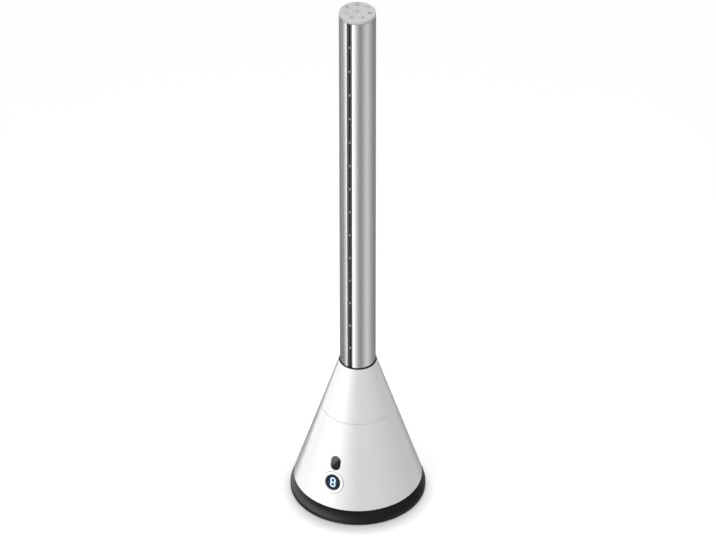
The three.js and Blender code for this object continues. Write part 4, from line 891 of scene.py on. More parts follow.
@dataclass
class BaseUnit:
    """The standing base: flared shell, bottom plate, feet, screws and the lead's grommet."""

    wall: float = 2.6 * MM
    lip: float = 6.9 * MM
    lean: float = 7.8 * MM
    bulge: float = 1.1 * MM          # how far the slope swells out
    rim: float = 6 * MM
    rim_round: float = 1.6 * MM
    deck_sink: float = 5 * MM
    deck: float = 2.5 * MM
    hub_hole: float = 20.4 * MM
    boss: float = 4.5 * MM
    head: float = 3.5 * MM
    head_height: float = 1.1 * MM
    shank: float = 1.8 * MM
    thread_pitch: float = 1 * MM
    thread_depth: float = 0.35 * MM
    thread_end: float = 2.2 * MM     # no thread comes nearer to the tip
    tip: float = 1.8 * MM
    recess_length: float = 3.2 * MM
    recess_width: float = 0.7 * MM
    recess_depth: float = 0.7 * MM
    foot_recess: float = 8.3 * MM
    foot_sink: float = 0.8 * MM
    groove_radii: Point = (30 * MM, 70 * MM)
    gland_radius: float = 4.5 * MM   # of its hole
    gland_bore: float = 3.2 * MM
    gland_flange: float = 2 * MM
    shell: Box = field(default_factory=lambda: Box.of("base_housing"))
    plate: Box = field(default_factory=lambda: Box.of("base_plate"))
    gland: Box = field(default_factory=lambda: Box.of("cord_gland"))

    def shell_mesh(self) -> bpy.types.Mesh:
        """Flared shell with a swelling slope, a rim, the deck and four screw bosses."""
        outer, bottom, top = self.shell.radius, self.shell.low.z, self.shell.high.z
        shoulder, lip_top = outer - self.lean, bottom + self.lip
        rim_inner, deck_top = shoulder - self.rim_round - self.rim, top - self.deck_sink
        under = deck_top - self.deck
        slope = [Vector((outer, lip_top)).lerp(Vector((shoulder, top)), share) for share in (0.3, 0.6)]
        swell = [(spot.x + self.bulge, spot.y, 4 * MM) for spot in slope]
        profile = rounded([
            (outer - self.wall, bottom, 0.3 * MM), (outer, bottom, 0.6 * MM), (outer, lip_top, 0.7 * MM),
            *swell, (shoulder, top, self.rim_round), (rim_inner, top, 0.8 * MM),
            (rim_inner, deck_top, 0.6 * MM), (self.hub_hole, deck_top, 0.4 * MM),
            (self.hub_hole, under, 0.4 * MM), (shoulder - self.wall, under, 1 * MM),
            (outer - self.wall, lip_top, 1 * MM),
        ], 7)
        way_out = Matrix.Translation((0, -self.gland.centre.z, outer / 2))
        lead = Matrix.Rotation(-math.pi / 2, 4, "X") @ way_out
        hole = revolve(rounded([(0, 0, 0), (self.gland_radius, 0, 0), (self.gland_radius, outer, 0),
                                (0, outer, 0)]), lead, SMALL_STEPS)
        bosses = []
        for node in self.screws():
            place = Box.of(node).upright(self.plate.high.z + SEAT_GAP)
            height = deck_top - 1 * MM - self.plate.high.z
            bosses.append(revolve(rounded([
                (self.shank + SEAT_GAP, 0, 0.3 * MM), (self.boss, 0, 0.4 * MM), (self.boss, height, 0),
                (self.shank + SEAT_GAP, height, 0),
            ]), place, SMALL_STEPS))
        return joined([carved(revolve(profile), [hole]), *bosses])

    @staticmethod
    def screws() -> list[str]:
        """The nodes of the bottom screws."""
        return [f"base_screw_{i}" for i in range(1, 5)]

    def plate_mesh(self) -> bpy.types.Mesh:
        """Bottom plate with two moulded rings, and recesses for the feet and the screw heads."""
        outer, bottom, top = self.plate.radius, self.plate.low.z, self.plate.high.z
        groove = [(radius + step, bottom + depth, 0.3 * MM) for radius in self.groove_radii
                  for step, depth in ((0, 0), (0.6 * MM, 0.7 * MM), (1.8 * MM, 0.7 * MM), (2.4 * MM, 0))]
        disc = revolve(rounded([(0, bottom, 0), *groove, (outer, bottom, 0.5 * MM), (outer, top, 0.3 * MM),
                                (0, top, 0)], 3))
        sinks = []
        feet = [(f"foot_{i}", self.foot_recess, self.foot_sink) for i in range(1, 7)]
        heads = [(node, self.head + SEAT_GAP, self.head_height + SEAT_GAP) for node in self.screws()]
        for node, radius, depth in feet + heads:
            place = Box.of(node).upright(bottom)
            sinks.append(revolve([(0, -CUT_CLEAR), (radius, -CUT_CLEAR), (radius, depth), (0, depth)], place,
                                 SMALL_STEPS))
        return carved(disc, sinks)

    @staticmethod
    def foot_mesh(box: Box) -> bpy.types.Mesh:
        """Rubber foot with a grooved tread."""
        radius, height = box.radius, box.high.z
        profile = rounded([
            (0, 0.5 * MM, 0), (2.4 * MM, 0.5 * MM, 0.2 * MM), (2.6 * MM, 0, 0.2 * MM),
            (4.2 * MM, 0, 0.2 * MM),
            (4.4 * MM, 0.5 * MM, 0.2 * MM), (5.0 * MM, 0.5 * MM, 0.2 * MM), (5.2 * MM, 0, 0.2 * MM),
            (radius - 0.9 * MM, 0, 0.4 * MM), (radius, 1.1 * MM, 0.5 * MM), (radius, height, 0.2 * MM),
            (0, height, 0),
        ], 3)
        return revolve(profile, box.upright(0), SMALL_STEPS)

    def screw_mesh(self, box: Box) -> bpy.types.Mesh:
        """Pan-head screw with a cross recess and a rolled thread."""
        length, core = box.high.z - box.low.z, self.shank - self.thread_depth
        thread: list[Corner] = []
        level = self.head_height + self.thread_pitch
        while level < length - self.thread_end:
            thread += [(core, level - self.thread_pitch * 0.4, 0), (self.shank, level, 0)]
            level += self.thread_pitch
        profile = rounded([
            (0, 0, 0), (self.head * 0.75, 0, 0.4 * MM), (self.head, self.head_height * 0.6, 0.4 * MM),
            (self.head, self.head_height, 0.1 * MM), (core, self.head_height, 0), *thread,
            (core, length - self.tip, 0), (0, length, 0),
        ], 3)
        place = box.upright(box.low.z)
        arms = []
        for long, wide in ((self.recess_length, self.recess_width), (self.recess_width, self.recess_length)):
            sides = [(x * long / 2, y * wide / 2) for x, y in ((-1, -1), (1, -1), (1, 1), (-1, 1))]
            arms.append(prism(sides, -CUT_CLEAR / 2, self.recess_depth, place))
        body = carved(revolve(profile, place, SCREW_STEPS), arms[:1])
        return carved(body, arms[1:])

    def gland_mesh(self) -> bpy.types.Mesh:
        """Grommet with a flange behind the shell and two strain-relief grooves."""
        front, back = self.gland.low.y, self.gland.high.y
        flange, sleeve, bore = self.gland.radius, self.gland_radius - SEAT_GAP, self.gland_bore
        waist = sleeve - 0.5 * MM
        grooves = [(radius, back - depth, 0.2 * MM) for depth, radius in (
            (3.4 * MM, sleeve), (3.2 * MM, waist), (2.6 * MM, waist), (2.4 * MM, sleeve))]
        profile = rounded([
            (bore, front, 0.3 * MM), (flange, front, 0.4 * MM), (flange, front + self.gland_flange, 0.4 * MM),
            (sleeve, front + self.gland_flange, 0.2 * MM), *grooves, (sleeve, back, 0.5 * MM),
            (bore, back, 0.4 * MM),
        ], 3)
        lie = Matrix.Translation((0, 0, self.gland.centre.z)) @ Matrix.Rotation(-math.pi / 2, 4, "X")
        return revolve(profile, lie, SMALL_STEPS)

    def build(self) -> None:
        """Makes and dresses every piece of the base."""
        body = Body.BASE.value
        add_piece("base_shell", self.shell_mesh(), Finishes.BLACK, body, "black_satin", "base_housing")
        add_piece("bottom_plate", self.plate_mesh(), Finishes.BLACK, body, "black_satin", "base_plate")
        for i in range(1, 7):
            mesh = self.foot_mesh(Box.of(f"foot_{i}"))
            add_piece(f"rubber_foot_{i}", mesh, Finishes.RUBBER, body, "black_rubber", f"foot_{i}")
        for i, node in enumerate(self.screws(), 1):
            add_piece(f"bottom_screw_{i}", self.screw_mesh(Box.of(node)), Finishes.STEEL, body, "steel", node)
        add_piece("lead_grommet", self.gland_mesh(), Finishes.RUBBER, body, "black_rubber", "cord_gland")
        dress_node("ballast_ring", Finishes.IRON, 0.5 * MM)
        dress_node("ring_gear", Finishes.NATURAL)
        dress_node("glide_ring", Finishes.NATURAL)


@dataclass
class Cone:
    """The two white shells, the rubber collar and the air intake."""

    wall: float = 2.5 * MM
    seam: float = 0.4 * MM
    bore: float = 31.3 * MM
    spigot_wall: float = 2 * MM
    spigot_depth: float = 8 * MM
    gap: float = SEAT_GAP
    slot_columns: int = 13
    slot_rows: int = 2
    slot_step: float = math.radians(9)
    slot_width: float = 3.4 * MM
    slot_height: float = 36 * MM
    slot_gap: float = 8 * MM
    slot_start: float = 32 * MM
    tube_radius: float = 30 * MM
    bead: float = 1.3 * MM
    lower: Box = field(default_factory=lambda: Box.of("lower_cone"))
    upper: Box = field(default_factory=lambda: Box.of("upper_cone"))
    collar: Box = field(default_factory=lambda: Box.of("collar"))

    @property
    def lean(self) -> float:
        """How much the radius shrinks for each metre of height."""
        return (self.lower.radius - self.upper.radius) / (self.lower.high.z + self.seam - self.lower.low.z)

    def outer(self, height: float) -> float:
        """Outer radius at a height."""
        return self.lower.radius - (height - self.lower.low.z) * self.lean

    def inner(self, height: float) -> float:
        """Inner radius at a height."""
        return self.outer(height) - self.wall * math.sqrt(1 + self.lean ** 2)

    def normal(self, point: Vector) -> Vector:
        """Normal of the outer surface at a point."""
        flat = Vector((point.x, point.y, 0)).normalized()
        return (flat + Vector((0, 0, self.lean))).normalized()

    def slot_cutters(self) -> list[bpy.types.Mesh]:
        """Round-ended blocks that cut the air intake, row by row."""
        half = self.slot_width / 2
        outline = capsule(half, self.slot_height / 2 - half, 8)
        stand = Matrix(((0, 0, 1, 0), (1, 0, 0, 0), (0, 1, 0, 0), (0, 0, 0, 1)))
        cutters = []
        for row in range(self.slot_rows):
            low = self.lower.low.z + self.slot_start + row * (self.slot_height + self.slot_gap)
            middle = low + self.slot_height / 2
            radius = self.outer(middle)
            reach = self.outer(low) - radius + 2 * self.wall
            for column in range(self.slot_columns):
                turn = math.pi / 2 + (column - (self.slot_columns - 1) / 2) * self.slot_step
                place = Matrix.Translation((0, 0, middle)) @ Matrix.Rotation(turn, 4, "Z") @ stand
                cutters.append(prism(outline, radius - reach, radius + reach, place))
        return cutters

    def lower_mesh(self, panel: "FrontPanel") -> bpy.types.Mesh:
        """Lower shell with the intake slots and the two holes of the front panel."""
        low, high = self.lower.low.z, self.lower.high.z
        levels = [low + (high - low) * i / 10 for i in range(1, 10)]
        profile = rounded([
            (self.inner(low), low, 0.4 * MM), (self.outer(low), low, 0.6 * MM),
            *[(self.outer(level), level, 0) for level in levels],
            (self.outer(high), high, 0.35 * MM), (self.inner(high), high, 0.3 * MM),
        ])
        shell = carved(revolve(profile), [*self.slot_cutters(), *panel.hole_cutters()])
        return set_normals(shell, self.normal)

    def upper_mesh(self) -> bpy.types.Mesh:
        """Upper shell with the spigot that centres it in the lower one."""
        low, high = self.lower.high.z + self.seam, self.upper.high.z
        foot = self.upper.low.z
        bore_start = self.lower.low.z + (self.inner(self.lower.low.z) - self.bore) / self.lean
        slim = self.gap + self.spigot_wall
        profile = rounded([
            (self.inner(foot) - slim, foot, 0.3 * MM), (self.inner(foot) - self.gap, foot, 0.5 * MM),
            (self.inner(low) - self.gap, low, 0), (self.outer(low), low, 0.35 * MM),
            (self.outer(high), high, 0.2 * MM), (self.bore, high, 0.2 * MM), (self.bore, bore_start, 2 * MM),
            (self.inner(low + self.spigot_depth) - self.gap, low + self.spigot_depth, 1 * MM),
            (self.inner(low) - slim, low, 1 * MM),
        ])
        return set_normals(revolve(profile), self.normal)

    def collar_mesh(self) -> bpy.types.Mesh:
        """Rubber collar with a round bead over the joint."""
        inner, outer = self.tube_radius + self.gap, self.bore - self.gap
        ledge, top = self.upper.high.z + self.gap, self.collar.high.z
        return revolve(rounded([
            (inner, self.collar.low.z, 0.2 * MM), (outer, self.collar.low.z, 0.2 * MM), (outer, ledge, 0),
            (inner + self.bead, ledge, 0.3 * MM), (inner + self.bead, top, 0.7 * MM), (inner, top, 0.4 * MM),
        ]))

    def build(self, panel: "FrontPanel") -> None:
        """Makes and dresses every piece of the cone."""
        body = Body.TOWER.value
        add_piece("lower_shell", self.lower_mesh(panel), Finishes.WHITE, body, "white_gloss", "lower_cone")
        add_piece("upper_shell", self.upper_mesh(), Finishes.WHITE, body, "white_gloss", "upper_cone")
        add_piece("rubber_collar", self.collar_mesh(), Finishes.RUBBER, body, "black_rubber", "collar")
        dress_node("intake_filter", Finishes.FOAM)


@dataclass
class FrontPanel:
    """The round display and the remote control's window on the cone's front."""

    display_height: float = 43.5 * MM    # cone's bottom edge to the middle of the display
    window_rise: float = 35 * MM
    lens: float = 13.5 * MM
    lens_thickness: float = 1.6 * MM
    lens_sink: float = 0.2 * MM
    lens_recess: float = 0.12 * MM     # the lit figure stands a little prouder
    figure_recess: float = 0.04 * MM
    ring: float = 19.2 * MM
    ring_proud: float = 0.8 * MM
    ring_depth: float = 7.6 * MM
    ring_flange: float = 3 * MM
    ring_flange_depth: float = 1.4 * MM
    notch_half: float = 0.4 * MM
    notch_depth: float = 0.35 * MM
    ledge: float = 1.2 * MM
    window_width: float = 17.4 * MM
    window_length: float = 25 * MM
    window_proud: float = 0.5 * MM
    window_depth: float = 5 * MM
    gap: float = SEAT_GAP
    digit_width: float = 9.6 * MM
    digit_height: float = 16.4 * MM
    stroke: float = 2.3 * MM
    digit_lean: float = -0.07
    bar_gap: float = 0.12 * MM
    bar_thickness: float = 0.2 * MM
    window_flange: float = 2 * MM
    window_flange_depth: float = 1.2 * MM

    @staticmethod
    def frame_of(height: float) -> Matrix:
        """A frame on the cone's front: X across, Y up along the cone, Z straight out of it.

        Args:
            height: From the cone's bottom edge to the frame's origin.

        Returns:
            The frame in the row frame.
        """
        cone = Cone()
        level = cone.lower.low.z + height
        place = Matrix.Translation((0, -cone.outer(level), level))
        return place @ Matrix.Rotation(math.pi / 2 - math.atan(cone.lean), 4, "X")

    @property
    def place(self) -> Matrix:
        """Frame of the display."""
        return self.frame_of(self.display_height)

    @property
    def window_place(self) -> Matrix:
        """Frame of the window."""
        return self.place @ Matrix.Translation((0, self.window_rise, 0))

    def window_outline(self, grow: float) -> list[Point]:
        """Upright capsule, or a larger copy of it."""
        straight = (self.window_length - self.window_width) / 2
        return capsule(self.window_width / 2 + grow, straight, 24)

    def hole_cutters(self) -> list[bpy.types.Mesh]:
        """What the display and the window leave open in the cone."""
        deep = 3 * self.ring_depth
        radius = self.ring + self.gap
        disc = revolve([(0, -deep), (radius, -deep), (radius, deep), (0, deep)], self.place, MIDDLE_STEPS)
        outline = self.window_outline(self.gap)
        return [disc, prism(outline, -deep, deep, self.window_place)]

    def ring_mesh(self) -> bpy.types.Mesh:
        """White ring with a rounded face and a small index notch at its top."""
        inner, back = self.lens + self.gap, -self.ring_depth
        seat = -self.lens_sink - self.lens_thickness - self.gap
        profile = rounded([
            (inner - self.ledge, back, 0.2 * MM), (self.ring + self.ring_flange, back, 0.3 * MM),
            (self.ring + self.ring_flange, back + self.ring_flange_depth, 0.3 * MM),
            (self.ring, back + self.ring_flange_depth, 0.2 * MM),
            (self.ring, self.ring_proud, 0.7 * MM), (inner, self.ring_proud, 1.1 * MM), (inner, seat, 0),
            (inner - self.ledge, seat, 0.2 * MM),
        ], 6)
        half, near, far = self.notch_half, inner + 1.4 * MM, self.ring - 0.8 * MM
        notch = [(-half, near), (half, near), (half, far), (-half, far)]
        cut = prism(notch, self.ring_proud - self.notch_depth, 2 * self.ring_proud, self.place)
        return carved(revolve(profile, self.place, MIDDLE_STEPS), [cut])

    def lens_mesh(self) -> bpy.types.Mesh:
        """Round tinted disc, a little domed at its edge."""
        front = -self.lens_sink - self.lens_recess
        back = -self.lens_sink - self.lens_thickness
        return revolve(rounded([
            (0, back, 0), (self.lens, back, 0.2 * MM), (self.lens, front, 0.5 * MM), (0, front, 0),
        ]), self.place, MIDDLE_STEPS)

    def digit_mesh(self) -> bpy.types.Mesh:
        """The figure 8, as the seven bars of such a display."""
        front = -self.lens_sink - self.figure_recess
        half_x, half_y = (self.digit_width - self.stroke) / 2, (self.digit_height - self.stroke) / 2
        knots = [(x * half_x, y * half_y) for y in (-1, 0, 1) for x in (-1, 1)]
        pairs = ((0, 1), (2, 3), (4, 5), (0, 2), (1, 3), (2, 4), (3, 5))
        bars = []
        for first, last in pairs:
            start, end = Vector(knots[first]), Vector(knots[last])
            along = (end - start).normalized()
            side = Vector((-along.y, along.x)) * self.stroke / 2
            near, far = start + along * self.bar_gap, end - along * self.bar_gap
            tip = along * self.stroke / 2
            spots = (near, near + tip + side, far - tip + side, far, far - tip - side, near + tip - side)
            outline = [(spot.x + spot.y * self.digit_lean, spot.y) for spot in spots]
            bars.append(prism(outline, front - self.bar_thickness, front, self.place))
        return joined(bars)

    def window_mesh(self) -> bpy.types.Mesh:
        """Dark window with a softly domed face, and a flange behind the cone."""
        dome = ((0, -0.1), (-0.12, 0.12), (-0.45, 0.26), (-1.2, 0.36), (-3, 0.44), (-6, 0.48))
        flange, shelf = self.window_outline(self.window_flange), self.window_flange_depth - self.window_depth
        layers = [(flange, -self.window_depth), (flange, shelf), (self.window_outline(0), shelf)]
        layers += [(self.window_outline(grow * MM), height * MM) for grow, height in dome]
        return stack(layers, self.window_place)

    def build(self) -> None:
        """Makes and dresses every piece of the front panel."""
        body = Body.TOWER.value
        add_piece("display_ring", self.ring_mesh(), Finishes.WHITE, body, "white_gloss", "display_bezel")
        add_piece("display_glass", self.lens_mesh(), Finishes.DISPLAY, body, "black_gloss", "display_lens")
        add_piece("lit_digit", self.digit_mesh(), Finishes.FIGURE, body, "lit_figure")
        add_piece("receiver_glass", self.window_mesh(), Finishes.RECEIVER, body, "black_gloss",
                  "remote_window")
        dress_node("digit_module", Finishes.FIGURE, 0.3 * MM)
        dress_node("remote_receiver", Finishes.BLACK, 0.3 * MM)
        dress_node("control_board", Finishes.BOARD)


@dataclass
class Column:
    """The aluminium tube, open down its front, and the ladder that fills its slot."""

    wall: float = 1.8 * MM
    slot_half: float = 4.65 * MM
    slot_round: float = 0.3 * MM
    rib: float = 1.2 * MM
    rib_inside: float = 7.5 * MM
    insert_half: float = 7.2 * MM
    insert: float = 2.4 * MM
    gap: float = SEAT_GAP
    tube: Box = field(default_factory=lambda: Box.of("column_tube"))

    def section(self) -> list[Point]:
        """Section of the tube: a ring that is open at the front, with two hooked guide ribs inside."""
        radius = self.tube.radius
        inner = radius - self.wall

        def on_inner(x: float) -> float:
            """Depth of the inner wall beside the slot."""
            return -math.sqrt(inner ** 2 - x ** 2)

        hook = on_inner(self.insert_half) + self.insert + 2 * self.gap
        rib_outside = self.rib_inside + self.rib
        slot_turn = math.asin(self.slot_half / radius)
        rib_turn = math.asin(rib_outside / inner)
        quarter = math.pi / 2
        outside = arc((0, 0), radius, slot_turn - quarter, 3 * quarter - slot_turn, SMOOTH_STEPS)
        inside = arc((0, 0), inner, 3 * quarter - rib_turn, rib_turn - quarter, SMOOTH_STEPS)
        left = [
            (-self.slot_half, on_inner(self.slot_half), 0.2 * MM),
            (-self.rib_inside, on_inner(self.rib_inside), 0.1 * MM), (-self.rib_inside, hook, 0.2 * MM),
            (self.rib - self.rib_inside, hook, 0.2 * MM),
            (self.rib - self.rib_inside, hook + self.rib, 0.2 * MM),
            (-rib_outside, hook + self.rib, 0.3 * MM),
        ]
        right = [(-x, y, fillet) for x, y, fillet in reversed(left)]
        corners = [(x, y, 0.0) for x, y in outside] + left + [(x, y, 0.0) for x, y in inside] + right
        mouth = len(outside) - 1
        corners[0] = (*corners[0][:2], self.slot_round)
        corners[mouth] = (*corners[mouth][:2], self.slot_round)
        return rounded(corners, 4)

    def build(self) -> None:
        """Makes and dresses the column."""
        body = Body.TOWER.value
        mesh = prism(self.section(), self.tube.low.z, self.tube.high.z)
        add_piece("column_profile", mesh, Finishes.ALUMINIUM, body, "satin_aluminium", "column_tube")
        dress_node("slot_insert", Finishes.LADDER, 0.2 * MM)


class Sign(Enum):
    """Plain signs on the keys, each a list of (points, closed) lines inside a circle of radius 1."""

    POWER = ((arc((0, 0), 0.8, math.radians(125), math.radians(415), 24), False),
             ([(0, 0.15), (0, 1)], False))
    MORE = (([(-0.9, 0), (-0.14, 0)], False), ([(0.14, 0), (0.9, 0)], False), ([(0, -0.9), (0, 0.9)], False))
    LESS = (([(-0.9, 0), (0.9, 0)], False),)
    TIMER = ((arc((0, 0), 0.9, 0, 2 * math.pi, 28)[:-1], True), ([(0, 0.6), (0, 0), (0.42, -0.2)], False))
    NIGHT = (([*arc((0, 0), 0.85, math.radians(60), math.radians(330), 20),
               *arc((0.42, 0.16), 0.62, math.radians(297), math.radians(93), 14)], True),)
    SWING = ((arc((0, -0.4), 1.0, math.radians(35), math.radians(145), 14), False),
             ([(-0.95, 0.55), (-0.88, 0.1), (-0.45, 0.02)], False),
             ([(0.95, 0.55), (0.88, 0.1), (0.45, 0.02)], False))
    WAVES = tuple(([(-0.9 + i * 0.15, level + 0.16 * math.sin(i * math.pi / 3)) for i in range(13)], False)
                  for level in (-0.5, 0, 0.5))
    LAMP = ((arc((0, 0.2), 0.6, math.radians(-60), math.radians(240), 20), False),
            ([(-0.3, -0.55), (0.3, -0.55)], False), ([(-0.22, -0.85), (0.22, -0.85)], False))


@dataclass
class Top:
    """The cap and its eight keys, each with a printed sign."""

    wall: float = 2 * MM
    roof: float = 2.2 * MM
    edge: float = 3.2 * MM
    key_gap: float = 0.25 * MM
    key_edge: float = 0.35 * MM
    key_sink: float = 0.08 * MM
    sign_size: float = 3.1 * MM
    sign_line: float = 0.95 * MM
    print_height: float = 0.04 * MM
    spigot_inner: float = 26.1 * MM
    spigot_outer: float = 27.9 * MM
    spigot_opening: float = math.radians(80)
    flange: float = 0.9 * MM
    flange_depth: float = 1 * MM
    stem: float = 1.6 * MM
    dish: float = 0.02 * MM
    hole_chamfer: float = 0.3 * MM
    ledge: float = 1.2 * MM
    sign_depth: float = 0.1 * MM
    signs: tuple[Sign, ...] = (
        Sign.LAMP, Sign.MORE, Sign.WAVES, Sign.SWING, Sign.TIMER, Sign.NIGHT, Sign.LESS,
    )
    cap: Box = field(default_factory=lambda: Box.of("top_cap"))
    tube_top: float = field(default_factory=lambda: Box.of("column_tube").high.z)

    def keys(self) -> dict[str, Sign]:
        """The key nodes and the sign on each."""
        return {"key_centre": Sign.POWER, **{f"key_{i}": sign for i, sign in enumerate(self.signs, 1)}}

    def key_radius(self, box: Box) -> float:
        """Radius of a key's top."""
        return box.radius - self.flange

    def cap_mesh(self) -> bpy.types.Mesh:
        """Cap with a rounded edge, eight chamfered key holes and a spigot that goes down into the tube."""
        radius, top = self.cap.radius, self.cap.high.z
        under, skirt = top - self.roof, self.tube_top + SEAT_GAP
        shell = revolve(rounded([
            (0, under, 0), (radius - self.wall, under, 0.5 * MM), (radius - self.wall, skirt, 0.2 * MM),
            (radius, skirt, 0.3 * MM), (radius, top, self.edge), (0, top, 0),
        ], 7))
        cutters = []
        for node in self.keys():
            box = Box.of(node)
            hole = self.key_radius(box) + self.key_gap
            outline = [(0, skirt), (hole, skirt), (hole, top - 0.25 * MM),
                       (hole + self.hole_chamfer, top + 0.05 * MM),
                       (hole + self.hole_chamfer, top + CUT_CLEAR), (0, top + CUT_CLEAR)]
            cutters.append(revolve(outline, box.upright(0), SMALL_STEPS))
        half = self.spigot_opening / 2
        quarter = math.pi / 2
        spread = (half - quarter, 3 * quarter - half)
        section = [*arc((0, 0), self.spigot_outer, *spread, MIDDLE_STEPS),
                   *arc((0, 0), self.spigot_inner, *spread[::-1], MIDDLE_STEPS)]
        spigot = prism(section, self.cap.low.z, skirt)
        step = revolve(rounded([(self.spigot_inner, skirt, 0), (radius - self.wall / 2, skirt, 0),
                                (radius - self.wall / 2, skirt + self.ledge, 0.3 * MM),
                                (self.spigot_inner, skirt + self.ledge, 0.3 * MM)]))
        return joined([carved(shell, cutters), spigot, step])

    def key_mesh(self, box: Box) -> bpy.types.Mesh:
        """Key with a rounded rim, a faintly dished top, a stop flange and a stem."""
        radius, top = self.key_radius(box), box.high.z - self.key_sink
        shelf = self.cap.high.z - self.roof - SEAT_GAP
        profile = rounded([
            (0, box.low.z, 0), (self.stem, box.low.z, 0.3 * MM),
            (self.stem, shelf - self.flange_depth, 0.3 * MM),
            (radius + self.flange, shelf - self.flange_depth, 0.2 * MM),
            (radius + self.flange, shelf, 0.2 * MM),
            (radius, shelf, 0.1 * MM), (radius, top, self.key_edge), (radius * 0.82, top, 0.4 * MM),
            (radius * 0.5, top - self.dish, 0.3 * MM), (0, top - self.dish, 0),
        ], 4)
        return revolve(profile, box.upright(0), SMALL_STEPS)

    def sign_mesh(self, box: Box, sign: Sign) -> bpy.types.Mesh:
        """The sign printed on a key."""
        top = box.high.z - self.key_sink + self.print_height
        centre = box.centre
        lines = []
        for points, closed in sign.value:
            line = [(centre.x + x * self.sign_size, centre.y + y * self.sign_size) for x, y in points]
            lines.append(ribbon(line, self.sign_line, top, self.sign_depth, closed))
        return joined(lines)

    def build(self) -> None:
        """Makes and dresses the cap and the keys."""
        add_piece("cap_shell", self.cap_mesh(), Finishes.GREY, Body.TOWER.value, "grey_satin", "top_cap")
        for node, sign in self.keys().items():
            box, body = Box.of(node), node + "_body"
            add_piece("round_" + node, self.key_mesh(box), Finishes.GREY, body, "grey_satin", node)
            add_piece("sign_" + node, self.sign_mesh(box, sign), Finishes.INK, body, "grey_satin")
        dress_node("key_board", Finishes.BOARD)


@dataclass
class Inside:
    """The blower, the drive, the boards and the cable, which keep their shapes."""

    finishes: tuple[tuple[Finishes, float, tuple[str, ...]], ...] = (
        (Finishes.BLACK, 0.3 * MM, ("turntable", "fan_chassis", "inlet_ring", "motor_cover")),
        (Finishes.BLACK, 0.0, ("diffuser", "air_duct", "key_cable")),
        (Finishes.STEEL, 0.3 * MM, ("retaining_ring", "drive_motor", "fan_motor", "motor_shaft",
                                     "impeller_nut")),
        (Finishes.NATURAL, 0.0, ("impeller", "pinion")),
        (Finishes.BOARD, 0.0, ("power_board",)),
    )

    def build(self) -> None:
        """Dresses every inner piece."""
        for finish, bevel, nodes in self.finishes:
            for node in nodes:
                dress_node(node, finish, bevel)


# ------------------------------------------------------------------ studio
@dataclass(frozen=True)
class Softbox:
    """A soft lamp that faces a point of the fan."""

    name: str
    turn: float              # degrees from the camera, to the right
    rise: float              # degrees above the floor
    distance: float
    width: float
    height: float
    watts: float
    aim: float = 0.4

    def build(self) -> None:
        """Adds the lamp."""
        light = bpy.data.lights.new(self.name, "AREA")
        light.shape = "RECTANGLE"
        light.size, light.size_y = self.width, self.height
        light.energy = self.watts
        lamp = put(self.name, light)
        turn, rise = CAMERA_TURN + math.radians(self.turn), math.radians(self.rise)
        aim = Vector((0, 0, self.aim))
        away = Vector((math.sin(turn) * math.cos(rise), -math.cos(turn) * math.cos(rise), math.sin(rise)))
        lamp.location = aim + away * self.distance
        lamp.rotation_euler = away.to_track_quat("Z", "Y").to_euler()
        lamp.visible_glossy = False
        lamp.visible_camera = False


